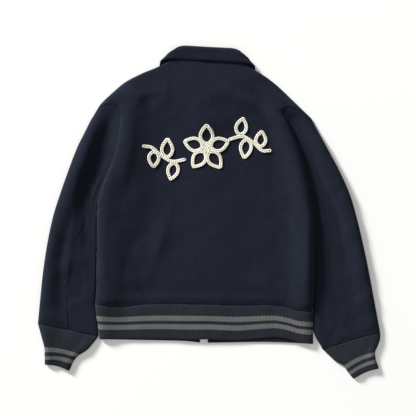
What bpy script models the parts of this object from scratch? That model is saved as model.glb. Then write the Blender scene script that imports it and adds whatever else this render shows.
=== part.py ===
"""Golf jacket laid face down on a flat surface, back panel up and collar toward +Y.

Blender 4.5, metres, +Z up, z = 0 at the surface. Tables and sizes are in millimetres.
Every cloth piece is a wall: an outer face worked out from sections, and an inner face one
wall thickness behind it. Panels that meet at a seam share that seam's points, SEAM_GAP apart.
"""

import math

import bpy
from mathutils import Matrix, Vector

MM = 0.001

# Cloth walls
WOOL = 2.4
RIB = 2.6
STAND_WALL = 2.4
LEAF_WALL = 3.0
TAPE = 0.6
SEAM_GAP = 0.3

# How the layers lie
TWO_LAYERS = 6.2        # outer face of the back above the surface, where the panels lie flat
SWELL = 2.6             # soft rise of the back between its edges
COLLAR_LIFT = 3.8       # the fronts ride this high over the turned-down collar
LIFT_MARGIN = 12        # they do so this far outside the leaf's edge, and settle
LIFT_RAMP = 50          # over this distance
EDGE_HALF = 3.1         # height of a shoulder edge above the cloth it rests on
SIDE_EDGE = 5.6         # height of the side seams

# Front opening: the line of the zip, and half of the gap between the fronts
ZIP_LINE = [(-12.4, -310), (-12.0, -100), (-11.2, 100), (-9.8, 200), (-8.0, 272)]
HALF_OPENING = 9.5

# Outline of the body, left and right as seen from above: side seams from hem to underarm
LEFT_SIDE = [(-267, -215), (-265, -170), (-264, -116), (-264, -53), (-262, 22)]
RIGHT_SIDE = [(242, -231), (246, -182), (247, -116), (247, -65), (245, -15)]
# Armhole seams from the shoulder tip to the underarm
LEFT_ARMHOLE = [
    (-262, 242), (-247, 249), (-228, 253), (-212, 244), (-207, 222), (-210, 194),
    (-217, 159), (-224, 128), (-234, 102), (-248, 67), (-262, 22),
]
RIGHT_ARMHOLE = [
    (238, 222), (224, 230.5), (208, 238.5), (188, 246), (173, 246), (171, 236), (178, 221),
    (190, 199), (204, 168), (216, 140), (224, 107), (231, 69), (238, 27), (245, -15),
]
# Shoulder seams from the tip to the side of the neck
LEFT_SHOULDER = [(-262, 242), (-252, 257), (-230, 278), (-202, 303), (-161, 325), (-118, 343)]
RIGHT_SHOULDER = [(238, 222), (213, 246), (181, 278), (147, 309), (111, 332)]
# Top seam of the hem band, its two sides, and its lower edge on the back and front layers
HEM_SEAM = [
    (-267, -215), (-220, -220), (-168, -217), (-125, -215), (-22, -215), (67, -217),
    (138, -217), (166, -219), (189, -224), (209, -229), (242, -231),
]
BAND_BACK_EDGE = [
    (-256, -297), (-208, -296), (-109, -296), (-45, -297.5), (-12, -296.6), (22, -298), (67, -300),
    (128, -294), (148, -292), (175, -294), (209, -304), (243, -308),
]
BAND_FRONT_EDGE = [(-256, -297), (-150, -299), (-60, -301), (-20, -305), (20, -305),
                   (138, -303.5), (243, -308)]
BAND_FOLD = 4.2         # height of the hem band's side folds at its lower edge

# Rows of the body between hem and underarm, and seam points of the armhole as shares of it
SIDE_ROWS = 8
UNDERARM_SHARE = 0.45
ARMHOLE_SHARES = [0, 0.05, 0.11, 0.18, 0.25, 0.32, 0.40, 0.49, 0.58, 0.67, 0.75, 0.83, 0.915, 1]
# Height of the outer face along the armhole seam, on the back and on the front layer
ARMHOLE_TOP = [3.4, 8.6, 9.6, 10.6, 11, 10.4, 9.6, 9, 8.8, 8.8, 8.8, 8.6, 8, 5.6]
ARMHOLE_UNDER = [3.4, 0.5, 0, 0, 0, 0, 0, 0, 0, 0, 0, 0.2, 1.6, 5.6]
BACK_SEAM_POINT = 9     # the sleeve's back seam starts at this armhole point
FRONT_SEAM_POINT = 10   # and its front seam, underneath, at this one

# Swelling along the body's outer edge. share: 0 hem, 0.45 underarm, 1 shoulder tip
EDGE_CREST = [
    # share, left height, right height
    (0.00, 6.5, 7.5),
    (0.06, 10.0, 13.0),
    (0.20, 12.0, 17.0),
    (0.45, 12.5, 15.0),
    (0.70, 11.0, 11.5),
    (0.88, 8.0, 8.0),
    (0.95, 3.0, 4.0),
    (1.00, 1.2, 1.2),
]
CREST_RISE = 17
CREST_FALL = 62

# Largest folds of the back: ridges and troughs from a to b
BACK_FOLDS = [
    # name, ax, ay, bx, by, height, half width
    ("left diagonal", -96, -5, -142, -150, 3.4, 17),
    ("right shoulder drag", 14, 302, 169, 206, 3.6, 18),
    ("left shoulder break", -200, 276, -118, 268, 2.6, 18),
    ("right hem pull", 120, -165, 168, -198, 2.6, 18),
    ("hollow beside the left side", -150, 60, -160, -60, -1.4, 40),
]

# Sleeve sections from the armhole to the cuff seam.
# outer fold x, y | back seam x, y | inner fold x, y | crest by the outer fold | outer fold height
LEFT_SLEEVE = [
    (-262, 242, -229, 121, -263, 22, 2.0, 3.4),
    (-278, 214, -245, 93, -264.8, 14, 5.0, 4.4),
    (-294, 182, -262, 66, -264.8, 1, 8.0, 5.4),
    (-311, 147, -276, 34, -264.6, -20, 10.0, 6.0),
    (-329, 100, -290, -8, -264.8, -55, 10.5, 6.0),
    (-349, 43, -306, -53, -264.8, -95, 9.5, 6.0),
    (-365, -8, -319, -95, -265, -135, 8.5, 6.0),
    (-378, -68, -328, -145, -266, -177, 8.5, 6.0),
    (-389, -140, -333, -194, -267.8, -217, 8.5, 5.8),
    (-396, -208, -333, -236, -262.5, -255, 8.0, 5.4),
    (-401, -260, -329, -274, -260.5, -290, 4.0, 4.4),
]
RIGHT_SLEEVE = [
    (238, 222, 221, 123, 246, -15, 2.0, 3.4),
    (253, 194, 231, 98, 247, -24, 5.0, 4.4),
    (270, 163, 244, 68, 247.4, -36, 7.5, 5.4),
    (286, 133, 255, 34, 247.6, -58, 9.0, 6.0),
    (306, 95, 267, -13, 247.9, -90, 9.5, 6.0),
    (329, 43, 278, -65, 247.8, -128, 9.5, 6.0),
    (345, -11, 285, -114, 247.3, -166, 9.5, 6.0),
    (359, -69, 290, -161, 245.6, -201, 9.5, 6.0),
    (372, -130, 293, -206, 243.6, -236, 9.0, 5.8),
    (385, -199, 297, -255, 245, -278, 8.0, 5.4),
    (400, -280, 325, -300, 267, -321, 4.0, 4.4),
]
SLEEVE_LAYERS = 6.0
INNER_FOLD = 3.6        # height of a sleeve's inner fold
SLEEVE_RISE = 15
SLEEVE_FALL = 50
SEAM_RIDGE = 2.2        # the cloth rises again along the back seam
SEAM_RIDGE_HALF = 24
ARMHOLE_REACH = 55      # the sleeve's own form takes over this far from the armhole
TURN_REACH = 3          # columns on each side of a fold's tip that make its turn
TURN_EASE = 2.0

# Cuff sections after the seam: outer fold x, y | inner fold x, y
LEFT_CUFF = [
    (-395, -283, -270, -303), (-390, -302, -287, -322), (-386, -318, -305, -334),
    (-385.5, -337, -317, -346), (-385, -357, -329, -371),
]
RIGHT_CUFF = [
    (400, -297, 280, -333), (394, -314, 296, -348), (388.5, -327, 316, -359),
    (390, -345, 327, -375), (397, -366, 339, -390),
]
CUFF_LAYERS = 6.4
CUFF_BOW = 4           # a cuff's end and stripes bow in by this much

# Collar, half of it from the back centre to the front end, in its own axes.
# Each point is the centre line of its roll; turn is the direction its outer face looks in:
# 90 up on the back, 0 sideways over the shoulder edge, -90 down on the front.
# neck x, y | stand top x, y, z | leaf edge x, y | turn | roll radius
COLLAR = [
    (0, 362, 0, 383, 5.3, 0, 356, 90, 3.9),
    (31, 361.8, 32, 383.2, 5.4, 33, 356, 90, 3.9),
    (58, 361, 58, 382.8, 5.8, 61, 356, 90, 3.9),
    (76, 359, 73, 378.2, 6.3, 80, 355.3, 90, 3.85),
    (85, 356.3, 81, 371, 6.7, 91, 353.2, 72, 3.75),
    (90, 352.8, 86, 364.8, 6.9, 100, 349, 40, 3.7),
    (92, 350, 88, 361, 7.0, 105.5, 344.5, 0, 3.6),
    (92.7, 347.6, 88, 358, 7.15, 109, 339.5, -50, 3.5),
    (92.2, 341, 85.5, 351.5, 7.55, 109, 329, -80, 3.45),
    (84, 322, 76, 338.5, 7.6, 101, 312, -90, 3.45),
    (67, 299, 58, 322, 7.6, 85, 289, -90, 3.45),
    (38, 280, 34, 307, 7.6, 60, 259, -90, 3.45),
    (9.5, 272, 11, 300, 7.6, 34, 232, -90, 3.45),
]
SIDE_STATION = 6        # the collar's station at the shoulder edge
SIDE_OUTWARD = (0.74, 0.67)     # the way the right side's fold looks, in the collar's axes
COLLAR_MIDDLE = (-3.3, 356)
COLLAR_TILT = math.radians(-3.1)
ROLL_CENTRE = 6.9       # height of the roll's centre line at the neck seam
STAND_REACH = 3.1       # from that centre line to the stand's outer face
LEAF_REACH = 6.9        # and to the leaf's outer face

LEAF_BEND = (-90, -50, -5, 40, 90)      # points of the leaf's roll, in degrees

# Zip
CHAIN_HALF_WIDTH = 3.0
CHAIN_THICK = 2.4
TAPE_LOW = 2.9          # height of the tapes' near face above the fronts' outer face
TAPE_WIDTH = 12.4
ZIP_BOTTOM = -295
ZIP_TOP = 268
BOX_LENGTH = 10
BOX_THICK = 2.8
ZIP_RIDGE = 1.4         # the back lies this much higher over the zip,
SLIDER_RIDGE = 1.2      # and this much more over its slider
SLIDER_Y = 256
SLIDER_LENGTH = 13
SLIDER_HALF_WIDTH = 4.8
PLATE = 0.75
TAB_LENGTH = 31
TAB_THICK = 1.0
TAB_DROP = math.radians(5.6)    # the tab slopes down to the surface
BRIDGE_HEIGHT = 2.4             # of the bridge that the tab hangs on
HINGE_DROP = 0.8                # the tab's axis below the slider's front plate

COLOURS = {
    # name: sRGB, roughness, metallic
    "melton_wool": ((0.118, 0.137, 0.196), 0.95, 0.0),
    "rib_knit": ((0.149, 0.176, 0.216), 0.9, 0.0),
    "zip_tape": ((0.09, 0.10, 0.14), 0.85, 0.0),
    "brass": ((0.72, 0.58, 0.30), 0.35, 1.0),
}


# ---------------------------------------------------------------- curves and profiles
def smooth_line(points, steps=14):
    """A dense smooth line through the points (Catmull-Rom, spaced by chord length)."""
    points = [Vector(p) for p in points]
    points = [2 * points[0] - points[1]] + points + [2 * points[-1] - points[-2]]
    line = [points[1]]
    for a, b, c, d in zip(points, points[1:], points[2:], points[3:]):
        ab, bc, cd = ((q - p).length ** 0.5 for p, q in ((a, b), (b, c), (c, d)))
        leave = b + (c - a) * (bc / (3 * (ab + bc)))
        arrive = c - (d - b) * (bc / (3 * (bc + cd)))
        for i in range(1, steps + 1):
            t = i / steps
            s = 1 - t
            line.append(s**3 * b + 3 * s * s * t * leave + 3 * s * t * t * arrive + t**3 * c)
    return line


def shares_of(line):
    """How far along the line each of its points is, from 0 to 1."""
    run = [0.0]
    for a, b in zip(line, line[1:]):
        run.append(run[-1] + (b - a).length)
    return [r / run[-1] for r in run]


def between(keys, values, at):
    """Straight interpolation of values over keys that rise."""
    if at <= keys[0]:
        return values[0]
    for k0, k1, v0, v1 in zip(keys, keys[1:], values, values[1:]):
        if at <= k1:
            return v0 + (v1 - v0) * ((at - k0) / (k1 - k0))
    return values[-1]


def points_at(line, shares):
    keys = shares_of(line)
    return [between(keys, line, s) for s in shares]


def soft_step(x):
    x = min(1.0, max(0.0, x))
    return x * x * (3 - 2 * x)


def quarter_round(x):
    """Height of a rolled edge, 0 at the edge and 1 where the roll ends."""
    x = min(1.0, max(0.0, x))
    return math.sqrt(1 - (1 - x) ** 2)


def hump(distance, rise, fall):
    """1 out to rise, then a soft fall to 0."""
    return 0.5 * (1 + math.cos(math.pi * min(1.0, max(0.0, (distance - rise) / fall))))


def to_segment(p, a, b):
    """Distance from p to the segment a-b, and how far along the segment the nearest point is."""
    run = b - a
    t = min(1.0, max(0.0, (p - a).dot(run) / run.length_squared))
    return (p - a - t * run).length, t


def line_distance(p, line):
    return min(to_segment(p, a, b)[0] for a, b in zip(line, line[1:]))


def stepped_off(line, gap, side):
    """The line moved sideways by gap; side is +1 to the left of its direction, -1 to the right."""
    moved = []
    for i, p in enumerate(line):
        before = (p - line[i - 1]).xy if i else None
        after = (line[i + 1] - p).xy if i + 1 < len(line) else None
        normals = [Vector((-d.y, d.x)).normalized() for d in (before, after) if d and d.length]
        across = sum(normals, Vector((0, 0)))
        across *= 2 / across.length_squared if len(normals) == 2 else 1
        moved.append(p + side * gap * across.to_3d())
    return moved


ROWS = SIDE_ROWS + len(ARMHOLE_SHARES)
SHOULDER_SHARES = [0, 0.01, 0.04, 0.11, 0.22, 0.36, 0.52, 0.68, 0.84]
NECK_ROW = ROWS - len(COLLAR) + SIDE_STATION    # the fronts' row at the top of the zip
ZIP_CURVE = smooth_line(ZIP_LINE)
COLLAR_TURN = Matrix.Rotation(COLLAR_TILT, 3, "Z")


# ---------------------------------------------------------------- cloth walls and plain solids
def make_object(name, points, faces, material, smooth=True):
    mesh = bpy.data.meshes.new(name)
    mesh.from_pydata([tuple(MM * c for c in p) for p in points], [], faces)
    mesh.materials.append(bpy.data.materials[material])
    if smooth:
        mesh.shade_smooth()
        mesh.set_sharp_from_angle(angle=math.radians(40))
    obj = bpy.data.objects.new(name, mesh)
    jacket.objects.link(obj)
    return obj


def facing_of(grid, i, j, loop, flip):
    """Outward direction of the grid's outer face at row i, column j."""
    rows, columns = len(grid), len(grid[0])
    if loop:
        left, right = grid[i][j - 1], grid[i][(j + 1) % columns]
    else:
        left, right = grid[i][max(j - 1, 0)], grid[i][min(j + 1, columns - 1)]
    across = right - left
    down = grid[min(i + 1, rows - 1)][j] - grid[max(i - 1, 0)][j]
    out = across.cross(down).normalized()
    return -out if flip else out


def rim_facing(grid, i, j, loop, kinds, facing):
    """The way the outer face looks at a border point, for a rim that is clear of its neighbour."""
    if "stack" in kinds:
        facing = Vector((facing.x, facing.y, 0))
    if "seam" in kinds:
        rows, columns = len(grid), len(grid[0])
        p = grid[i][j]
        if i in (0, rows - 1) and "seam" in kinds[0]:
            before = grid[i][j - 1] if j or loop else p
            after = grid[i][(j + 1) % columns] if j + 1 < columns or loop else p
        else:
            before, after = grid[max(i - 1, 0)][j], grid[min(i + 1, rows - 1)][j]
        run = (after - before).xy
        if run.length < 0.5 * (p - before).xy.length:
            run = (p - before).xy
        across = Vector((run.y, -run.x, 0)).normalized()
        facing = facing - across * facing.dot(across)
    return facing.normalized()


def rim_faces(points, a, b, n, turned=False):
    """The rim behind the outer edge a-b, split the same way on both sides of a seam."""
    rising = points[a].x + 0.4 * points[a].y < points[b].x + 0.4 * points[b].y
    if rising != turned:
        return [(a, b, b + n), (a, b + n, a + n)]
    return [(a, b, a + n), (b, b + n, a + n)]


def ease_turn(grid, inner, i, tip, wall):
    """Keeps the two sides of a turned wall apart where it is folded tighter than the wall is thick.

    There the inner face runs straight from the turn's ends to a point one wall inside its tip.
    """
    row, behind = grid[i], inner[i]
    ends = tip - TURN_REACH, tip + TURN_REACH
    open_by = (row[tip - 2] - row[tip + 2]).length - 2 * wall
    tight = 1 - soft_step(open_by / TURN_EASE)
    out = (row[tip] - (row[ends[0]] + row[ends[1]]) / 2).xy
    if 0 < i < len(grid) - 1:
        along = (grid[i + 1][tip] - grid[i - 1][tip]).xy.normalized()
        out -= along * out.dot(along)
    middle = row[tip] - wall * out.normalized().to_3d()
    behind[tip] = behind[tip].lerp(middle, tight)
    for end, step in zip(ends, (1, -1)):
        whole = (row[tip] - row[end]).xy.length
        for j in range(end + step, tip, step):
            share = (row[j] - row[end]).xy.length / whole
            behind[j] = behind[j].lerp(behind[end].lerp(middle, share), tight)


def cloth(name, grid, wall, material, flip=False, loop=False, first="seam", last="seam",
          sides=None, rims=None, turned=False, turns=()):
    """A closed cloth wall behind the outer face given by grid, a list of rows of points.

    first and last are the kinds of the borders along the first and last row, and sides(row)
    gives those of the left and right borders: "seam" where a neighbour is sewn on, so that the
    rim is upright along the seam, "stack" where it lies on its neighbour, so that the rim is
    level, "free" for an edge square to the cloth. first and last may be functions of the
    column. rims gives the way the outer face looks at single points, by row and column.
    turned is set where the first row is sewn on with its outer face behind the neighbour's.
    turns are the columns at the tips of folds.
    """
    rows, columns = len(grid), len(grid[0])
    inner = []
    for i in range(rows):
        inner.append([])
        for j in range(columns):
            facing = facing_of(grid, i, j, loop, flip)
            kinds = []
            if i in (0, rows - 1):
                kind = first if i == 0 else last
                kinds.append(kind(j) if callable(kind) else kind)
            if not loop and j in (0, columns - 1):
                kinds.append(sides(i)[0 if j == 0 else 1] if sides else "free")
            if rims and (i, j) in rims:
                facing = rims[i, j]
            elif kinds:
                facing = rim_facing(grid, i, j, loop, kinds, facing)
            inner[-1].append(grid[i][j] - wall * facing)
    for tip in turns:
        for i in range(rows):
            ease_turn(grid, inner, i, tip, wall)
    points = [p for row in grid for p in row] + [p for row in inner for p in row]
    n = rows * columns

    def at(i, j, layer):
        return layer * n + i * columns + j % columns

    faces = []
    last_column = columns if loop else columns - 1
    for i in range(rows - 1):
        for j in range(last_column):
            faces.append((at(i, j, 0), at(i, j + 1, 0), at(i + 1, j + 1, 0), at(i + 1, j, 0)))
            faces.append((at(i, j, 1), at(i + 1, j, 1), at(i + 1, j + 1, 1), at(i, j + 1, 1)))
    low, end = rows - 1, columns - 1
    for j in range(last_column):
        faces += rim_faces(points, at(0, j + 1, 0), at(0, j, 0), n, turned)
        faces += rim_faces(points, at(low, j, 0), at(low, j + 1, 0), n)
    if not loop:
        for i in range(rows - 1):
            faces += rim_faces(points, at(i, 0, 0), at(i + 1, 0, 0), n)
            faces += rim_faces(points, at(i + 1, end, 0), at(i, end, 0), n)
    if flip:
        faces = [face[::-1] for face in faces]
    return make_object(name, points, faces, material)


def box(name, centre, size, material=None):
    """A cube primitive of the given size, in millimetres; material None makes it a cutter."""
    bpy.ops.mesh.primitive_cube_add(size=1, location=[MM * c for c in centre])
    obj = bpy.context.object
    obj.name = obj.data.name = name
    obj.scale = [MM * s for s in size]
    bpy.ops.object.transform_apply(location=False, rotation=False, scale=True)
    home = jacket if material else helpers
    for owner in list(obj.users_collection):
        owner.objects.unlink(obj)
    home.objects.link(obj)
    if material:
        obj.data.materials.append(bpy.data.materials[material])
    else:
        obj.hide_render = True
        obj.display_type = "WIRE"
    return obj


def combine(obj, other, operation):
    step = obj.modifiers.new(f"{operation.lower()} {other.name}", "BOOLEAN")
    step.operation = operation
    step.object = other


# ---------------------------------------------------------------- shared places
def collar_place(x, y, z=0.0):
    """From the collar's own axes to the jacket's."""
    middle_x, middle_y = COLLAR_MIDDLE
    return COLLAR_TURN @ Vector((x, y - middle_y, 0)) + Vector((middle_x, middle_y, z))


def collar_outward(row, sign):
    """The way the collar's outer face looks at a station of COLLAR, left (-1) or right (1)."""
    x, y = SIDE_OUTWARD
    turn = math.radians(row[7])
    level = COLLAR_TURN @ Vector((sign * x, y, 0)).normalized()
    return level * math.cos(turn) + Vector((0, 0, math.sin(turn)))


def off_leaf(p):
    """Distance in plan from p to the turned-down leaf on the front, 0 on it."""
    middle_x, middle_y = COLLAR_MIDDLE
    own = COLLAR_TURN.transposed() @ Vector((p.x - middle_x, p.y - middle_y, 0))
    own = Vector((abs(own.x), own.y + middle_y))
    edge = [Vector(row[5:7]) for row in COLLAR[:SIDE_STATION:-1]]
    edge = [Vector((0, edge[0].y))] + edge
    inside = own.x < edge[-1].x and own.y > between([q.x for q in edge], [q.y for q in edge], own.x)
    return 0 if inside else line_distance(own, edge)


def zip_x(y):
    return between([p.y for p in ZIP_CURVE], [p.x for p in ZIP_CURVE], y)


def lift(p):
    """How high the layers ride over the turned-down collar."""
    return COLLAR_LIFT * soft_step(1 - (off_leaf(p) - LIFT_MARGIN) / LIFT_RAMP)


def body_rows(side, armhole):
    """The ends of the body's rows on one side, hem to underarm to shoulder tip."""
    hem_to_underarm = points_at(smooth_line(side), [i / SIDE_ROWS for i in range(SIDE_ROWS + 1)])
    tip_to_underarm = points_at(smooth_line(armhole), ARMHOLE_SHARES)
    return hem_to_underarm + tip_to_underarm[-2::-1]


def row_share(row):
    """0 at the hem, UNDERARM_SHARE at the underarm, 1 at the shoulder tip."""
    if row <= SIDE_ROWS:
        return UNDERARM_SHARE * row / SIDE_ROWS
    return 1 - (1 - UNDERARM_SHARE) * ARMHOLE_SHARES[ROWS - 1 - row]


def armhole_height(row, heights):
    return SIDE_EDGE if row <= SIDE_ROWS else heights[ROWS - 1 - row]


def band_crest(share, right):
    return between([r[0] for r in EDGE_CREST], [r[2 if right else 1] for r in EDGE_CREST], share)


def zip_ridge(p):
    """The back's rise over the zip, which lies between the layers, and over its slider."""
    along = ZIP_RIDGE + SLIDER_RIDGE * math.exp(-(((p.y - SLIDER_Y) / 60) ** 2))
    fade = 1 - soft_step((p.y - 318) / 34)
    return along * fade * math.exp(-(((p.x - zip_x(p.y)) / 42) ** 2))


def folds(p, table):
    total = 0.0
    for _, ax, ay, bx, by, height, half in table:
        away, t = to_segment(p.xy, Vector((ax, ay)), Vector((bx, by)))
        total += height * math.exp(-((away / half) ** 2)) * (0.55 + 0.45 * math.sin(math.pi * t))
    return total


# ---------------------------------------------------------------- body panels
def row_points(left, right, shares, low_bow, high_bow, share):
    """One row of a panel between its two ends, bowed like the panel's low and high edges."""
    low, high = (1 - share) ** 2.5, share**3
    return [left.lerp(right, u) + low * a + high * b for u, a, b in zip(shares, low_bow, high_bow)]


def bows(line, shares):
    """How far the line stands off its own chord at each share."""
    return [p - line[0].lerp(line[-1], u) for p, u in zip(line, shares)]


def column_shares(line):
    """Shares for a panel's columns, between those in width and those along its top edge."""
    width = line[-1].x - line[0].x
    return [0.6 * (p.x - line[0].x) / width + 0.4 * s for p, s in zip(line, shares_of(line))]


def line_at_x(points, xs):
    line = smooth_line(points)
    keys = [p.x for p in line]
    return [Vector((x, between(keys, [p.y for p in line], x))) for x in xs]


def back_height(p, row, to_left, to_right, shoulders, in_neck):
    """Height of the back's outer face at plan point p."""
    share = row_share(row)
    swell = SWELL * min(1, to_left / 90, to_right / 90) * soft_step(share / 0.12)
    swell *= 1 - soft_step((share - 0.8) / 0.15)
    crest = band_crest(share, False) * hump(to_left, CREST_RISE, CREST_FALL)
    crest += band_crest(share, True) * hump(to_right, CREST_RISE, CREST_FALL)
    ground = lift(p)
    shoulder_roll = 1.6 * (1 - ground / COLLAR_LIFT) * hump(line_distance(p.xy, shoulders), 9, 26)
    fade = soft_step(share / 0.08)
    inside = ground + TWO_LAYERS + swell + crest * (1 - ground / COLLAR_LIFT) + shoulder_roll
    inside += zip_ridge(p) + fade * folds(p, BACK_FOLDS)
    rounds = [
        (quarter_round(to_left / CREST_RISE), armhole_height(row, ARMHOLE_TOP)),
        (quarter_round(to_right / CREST_RISE), armhole_height(row, ARMHOLE_TOP)),
    ]
    if not in_neck:
        rounds.append((quarter_round(line_distance(p.xy, shoulders) / 9), ground + EDGE_HALF))
    rolled = math.prod(r for r, _ in rounds)
    weight = sum(1 - r for r, _ in rounds)
    edge = sum((1 - r) * z for r, z in rounds) / weight if weight > 1e-9 else 0
    return edge + (inside - edge) * rolled


def neck_point(row, sign):
    """A point of the neck seam, on the outer face."""
    p = collar_place(sign * row[0], row[1])
    return Vector((p.x, p.y, ROLL_CENTRE + STAND_REACH * math.sin(math.radians(row[7]))))


def shoulder_line(points, neck_side, tip_first):
    """The shoulder seam's points from the tip to the side of the neck, or back."""
    line = points + [tuple(neck_side.xy)]
    reach = neck_side.x - points[0][0]
    xs = [points[0][0] + reach * share for share in SHOULDER_SHARES]
    plan = line_at_x(line, xs) if xs[0] < xs[-1] else line_at_x(line[::-1], xs)
    return plan if tip_first else plan[::-1]


def build_body():
    left_rows, right_rows = body_rows(LEFT_SIDE, LEFT_ARMHOLE), body_rows(RIGHT_SIDE, RIGHT_ARMHOLE)
    stations = [(row, -1) for row in COLLAR[SIDE_STATION::-1]]
    stations += [(row, 1) for row in COLLAR[1:SIDE_STATION + 1]]
    neck = [neck_point(row, sign) for row, sign in stations]
    left = shoulder_line(LEFT_SHOULDER, neck[0], True)
    right = shoulder_line(RIGHT_SHOULDER, neck[-1], False)
    top = left + [p.xy for p in neck] + right
    shares = column_shares(top)
    hem = line_at_x(HEM_SEAM, [HEM_SEAM[0][0] + s * (HEM_SEAM[-1][0] - HEM_SEAM[0][0]) for s in shares])
    low_bow, high_bow = bows(hem, shares), bows(top, shares)
    shoulders = left + [neck[0].xy], [neck[-1].xy] + right
    first, last = len(left), len(left) + len(neck) - 1
    grid = []
    for row in range(ROWS):
        ends = left_rows[row], right_rows[row]
        plan = row_points(*ends, shares, low_bow, high_bow, row_share(row))
        width = (ends[1] - ends[0]).length
        points = []
        for j, (p, u) in enumerate(zip(plan, shares)):
            in_neck = first <= j <= last
            z = back_height(p.to_3d(), row, u * width, (1 - u) * width, shoulders[u > 0.5], in_neck)
            points.append(Vector((p.x, p.y, z)))
        grid.append(points)
    for row in grid[:SIDE_ROWS + 1]:
        row[0].z += SEAM_GAP / 2
        row[-1].z += SEAM_GAP / 2
    for p in grid[-1][:first] + grid[-1][last + 1:]:
        p.z = lift(p) + EDGE_HALF + SEAM_GAP / 2
    grid[-1][first:last + 1] = neck
    rims = {(ROWS - 1, first + k): collar_outward(*station) for k, station in enumerate(stations)}
    rims.update(tip_rims(grid, 0, 1))
    rims.update(tip_rims(grid, len(top) - 1, -1))
    cloth("back", grid, WOOL, "melton_wool", rims=rims,
          sides=lambda i: ("stack" if i <= SIDE_ROWS else "seam",) * 2,
          last=lambda j: "seam" if first < j < last else "stack")
    fronts = {
        "left": build_front("front_left", -1, left_rows, left),
        "right": build_front("front_right", 1, right_rows, right[::-1]),
    }
    return grid, fronts


def tip_rims(grid, column, step):
    """Level rims along the armhole for the shoulder tip, where a panel is narrower than its wall."""
    along = grid[-1][column] - grid[-2][column]
    along = Vector((along.x, along.y, 0)).normalized()
    return {(len(grid) - 1, column + k * step): along for k in range(3)}


def build_front(name, sign, edge_rows, shoulder):
    """A front panel, the lower layer: flat on the surface, rolled up to its side seam.

    Its rows run from the side seam and armhole to the front edge and neck seam.
    """
    stations = [(row, sign) for row in COLLAR[:SIDE_STATION - 1:-1]]
    neck = [neck_point(row, sign) for row, sign in stations]
    neck[0].x = zip_x(neck[0].y) + sign * HALF_OPENING
    top = shoulder + [neck[-1].xy]
    shares = column_shares(top)
    low_y = HEM_SEAM[4][1]
    opening_low = zip_x(low_y) + sign * HALF_OPENING
    hem = line_at_x(HEM_SEAM, sorted(edge_rows[0].x + s * (opening_low - edge_rows[0].x) for s in shares))
    hem = hem if sign < 0 else hem[::-1]
    low_bow, high_bow = bows(hem, shares), bows(top, shares)
    rows = [r for r in range(ROWS) if r > SIDE_ROWS or r % 2 == 0]
    grid = []
    for row in rows:
        if row <= NECK_ROW:
            y = hem[-1].y + (neck[0].y - hem[-1].y) * row_share(row) / row_share(NECK_ROW)
            inner_end = Vector((zip_x(y) + sign * HALF_OPENING, y))
        else:
            inner_end = neck[row - NECK_ROW].xy
        plan = row_points(edge_rows[row], inner_end, shares, low_bow, high_bow, row_share(row))
        width = (inner_end - edge_rows[row]).length
        points = []
        for p, u in zip(plan, shares):
            side = (1 - quarter_round(u * width / 8)) * armhole_height(row, ARMHOLE_UNDER)
            off_edge = quarter_round(line_distance(p, top) / 5)
            points.append(Vector((p.x, p.y, lift(p) + max(side, (1 - off_edge) * EDGE_HALF))))
        if row <= SIDE_ROWS:
            points[0].z = SIDE_EDGE - SEAM_GAP / 2
        if row >= NECK_ROW:
            points[-1] = neck[row - NECK_ROW]
        grid.append(points)
    for p in grid[-1][:-1]:
        p.z = lift(p) + EDGE_HALF - SEAM_GAP / 2
    side_rows = sum(1 for r in rows if r <= SIDE_ROWS)
    rims = {(len(rows) - len(stations) + k, len(shares) - 1): collar_outward(*station)
            for k, station in enumerate(stations)}
    rims.update(tip_rims(grid, 0, 1))
    cloth(name, grid, WOOL, "melton_wool", flip=sign < 0, rims=rims, last="stack",
          sides=lambda i: ("stack" if i < side_rows else "seam", "seam"))
    return grid


# ---------------------------------------------------------------- hem band
def build_band(back, fronts):
    """The rib-knit hem band, one strip from front edge to front edge, round by the back."""
    left, right = fronts["left"][0], fronts["right"][0]
    folds_at = [Vector((p.x, p.y, SIDE_EDGE)) for p in (back[0][0], back[0][-1])]
    seam = left[:0:-1] + [folds_at[0]] + back[0][1:-1] + [folds_at[1]] + right[1:]
    last = len(seam) - 1
    lower = {True: smooth_line(BAND_BACK_EDGE), False: smooth_line(BAND_FRONT_EDGE)}
    edge = []
    for j, p in enumerate(seam):
        on_back = len(left) - 1 <= j <= last - len(right) + 1
        share = (p.x - folds_at[0].x) / (folds_at[1].x - folds_at[0].x)
        x = BAND_BACK_EDGE[0][0] + share * (BAND_BACK_EDGE[-1][0] - BAND_BACK_EDGE[0][0])
        if j in (0, last):
            x = zip_x(-300) + (HALF_OPENING if j else -HALF_OPENING)
        y = between([q.x for q in lower[on_back]], [q.y for q in lower[on_back]], x)
        to_fold = min(share, 1 - share) * (folds_at[1].x - folds_at[0].x)
        z = BAND_FOLD
        if on_back:
            inside = TWO_LAYERS + 3.0 * hump(to_fold, 12, 40) + zip_ridge(Vector((x, y, 0)))
            z += (inside - z) * quarter_round(to_fold / 12)
        else:
            z *= 1 - quarter_round(to_fold / 8)
        edge.append(Vector((x, y, z)))
    top = [p - Vector((0, SEAM_GAP, 0)) for p in seam]
    grid = [[a.lerp(b, share) for a, b in zip(top, edge)] for share in (0, 0.25, 0.6, 1)]
    cloth("hem_rib", grid, RIB, "rib_knit", flip=True, last="free")


# ---------------------------------------------------------------- sleeves and cuffs
def armhole_share(k):
    """Share of the armhole at point number k, which may lie between two points."""
    return between(list(range(len(ARMHOLE_SHARES))), ARMHOLE_SHARES, k)


def seam_3d(armhole, heights):
    """The armhole seam on one layer, through its points in plan at the given heights."""
    plan = points_at(smooth_line(armhole), ARMHOLE_SHARES)
    return [Vector((p.x, p.y, z)) for p, z in zip(plan, heights)]


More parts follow.
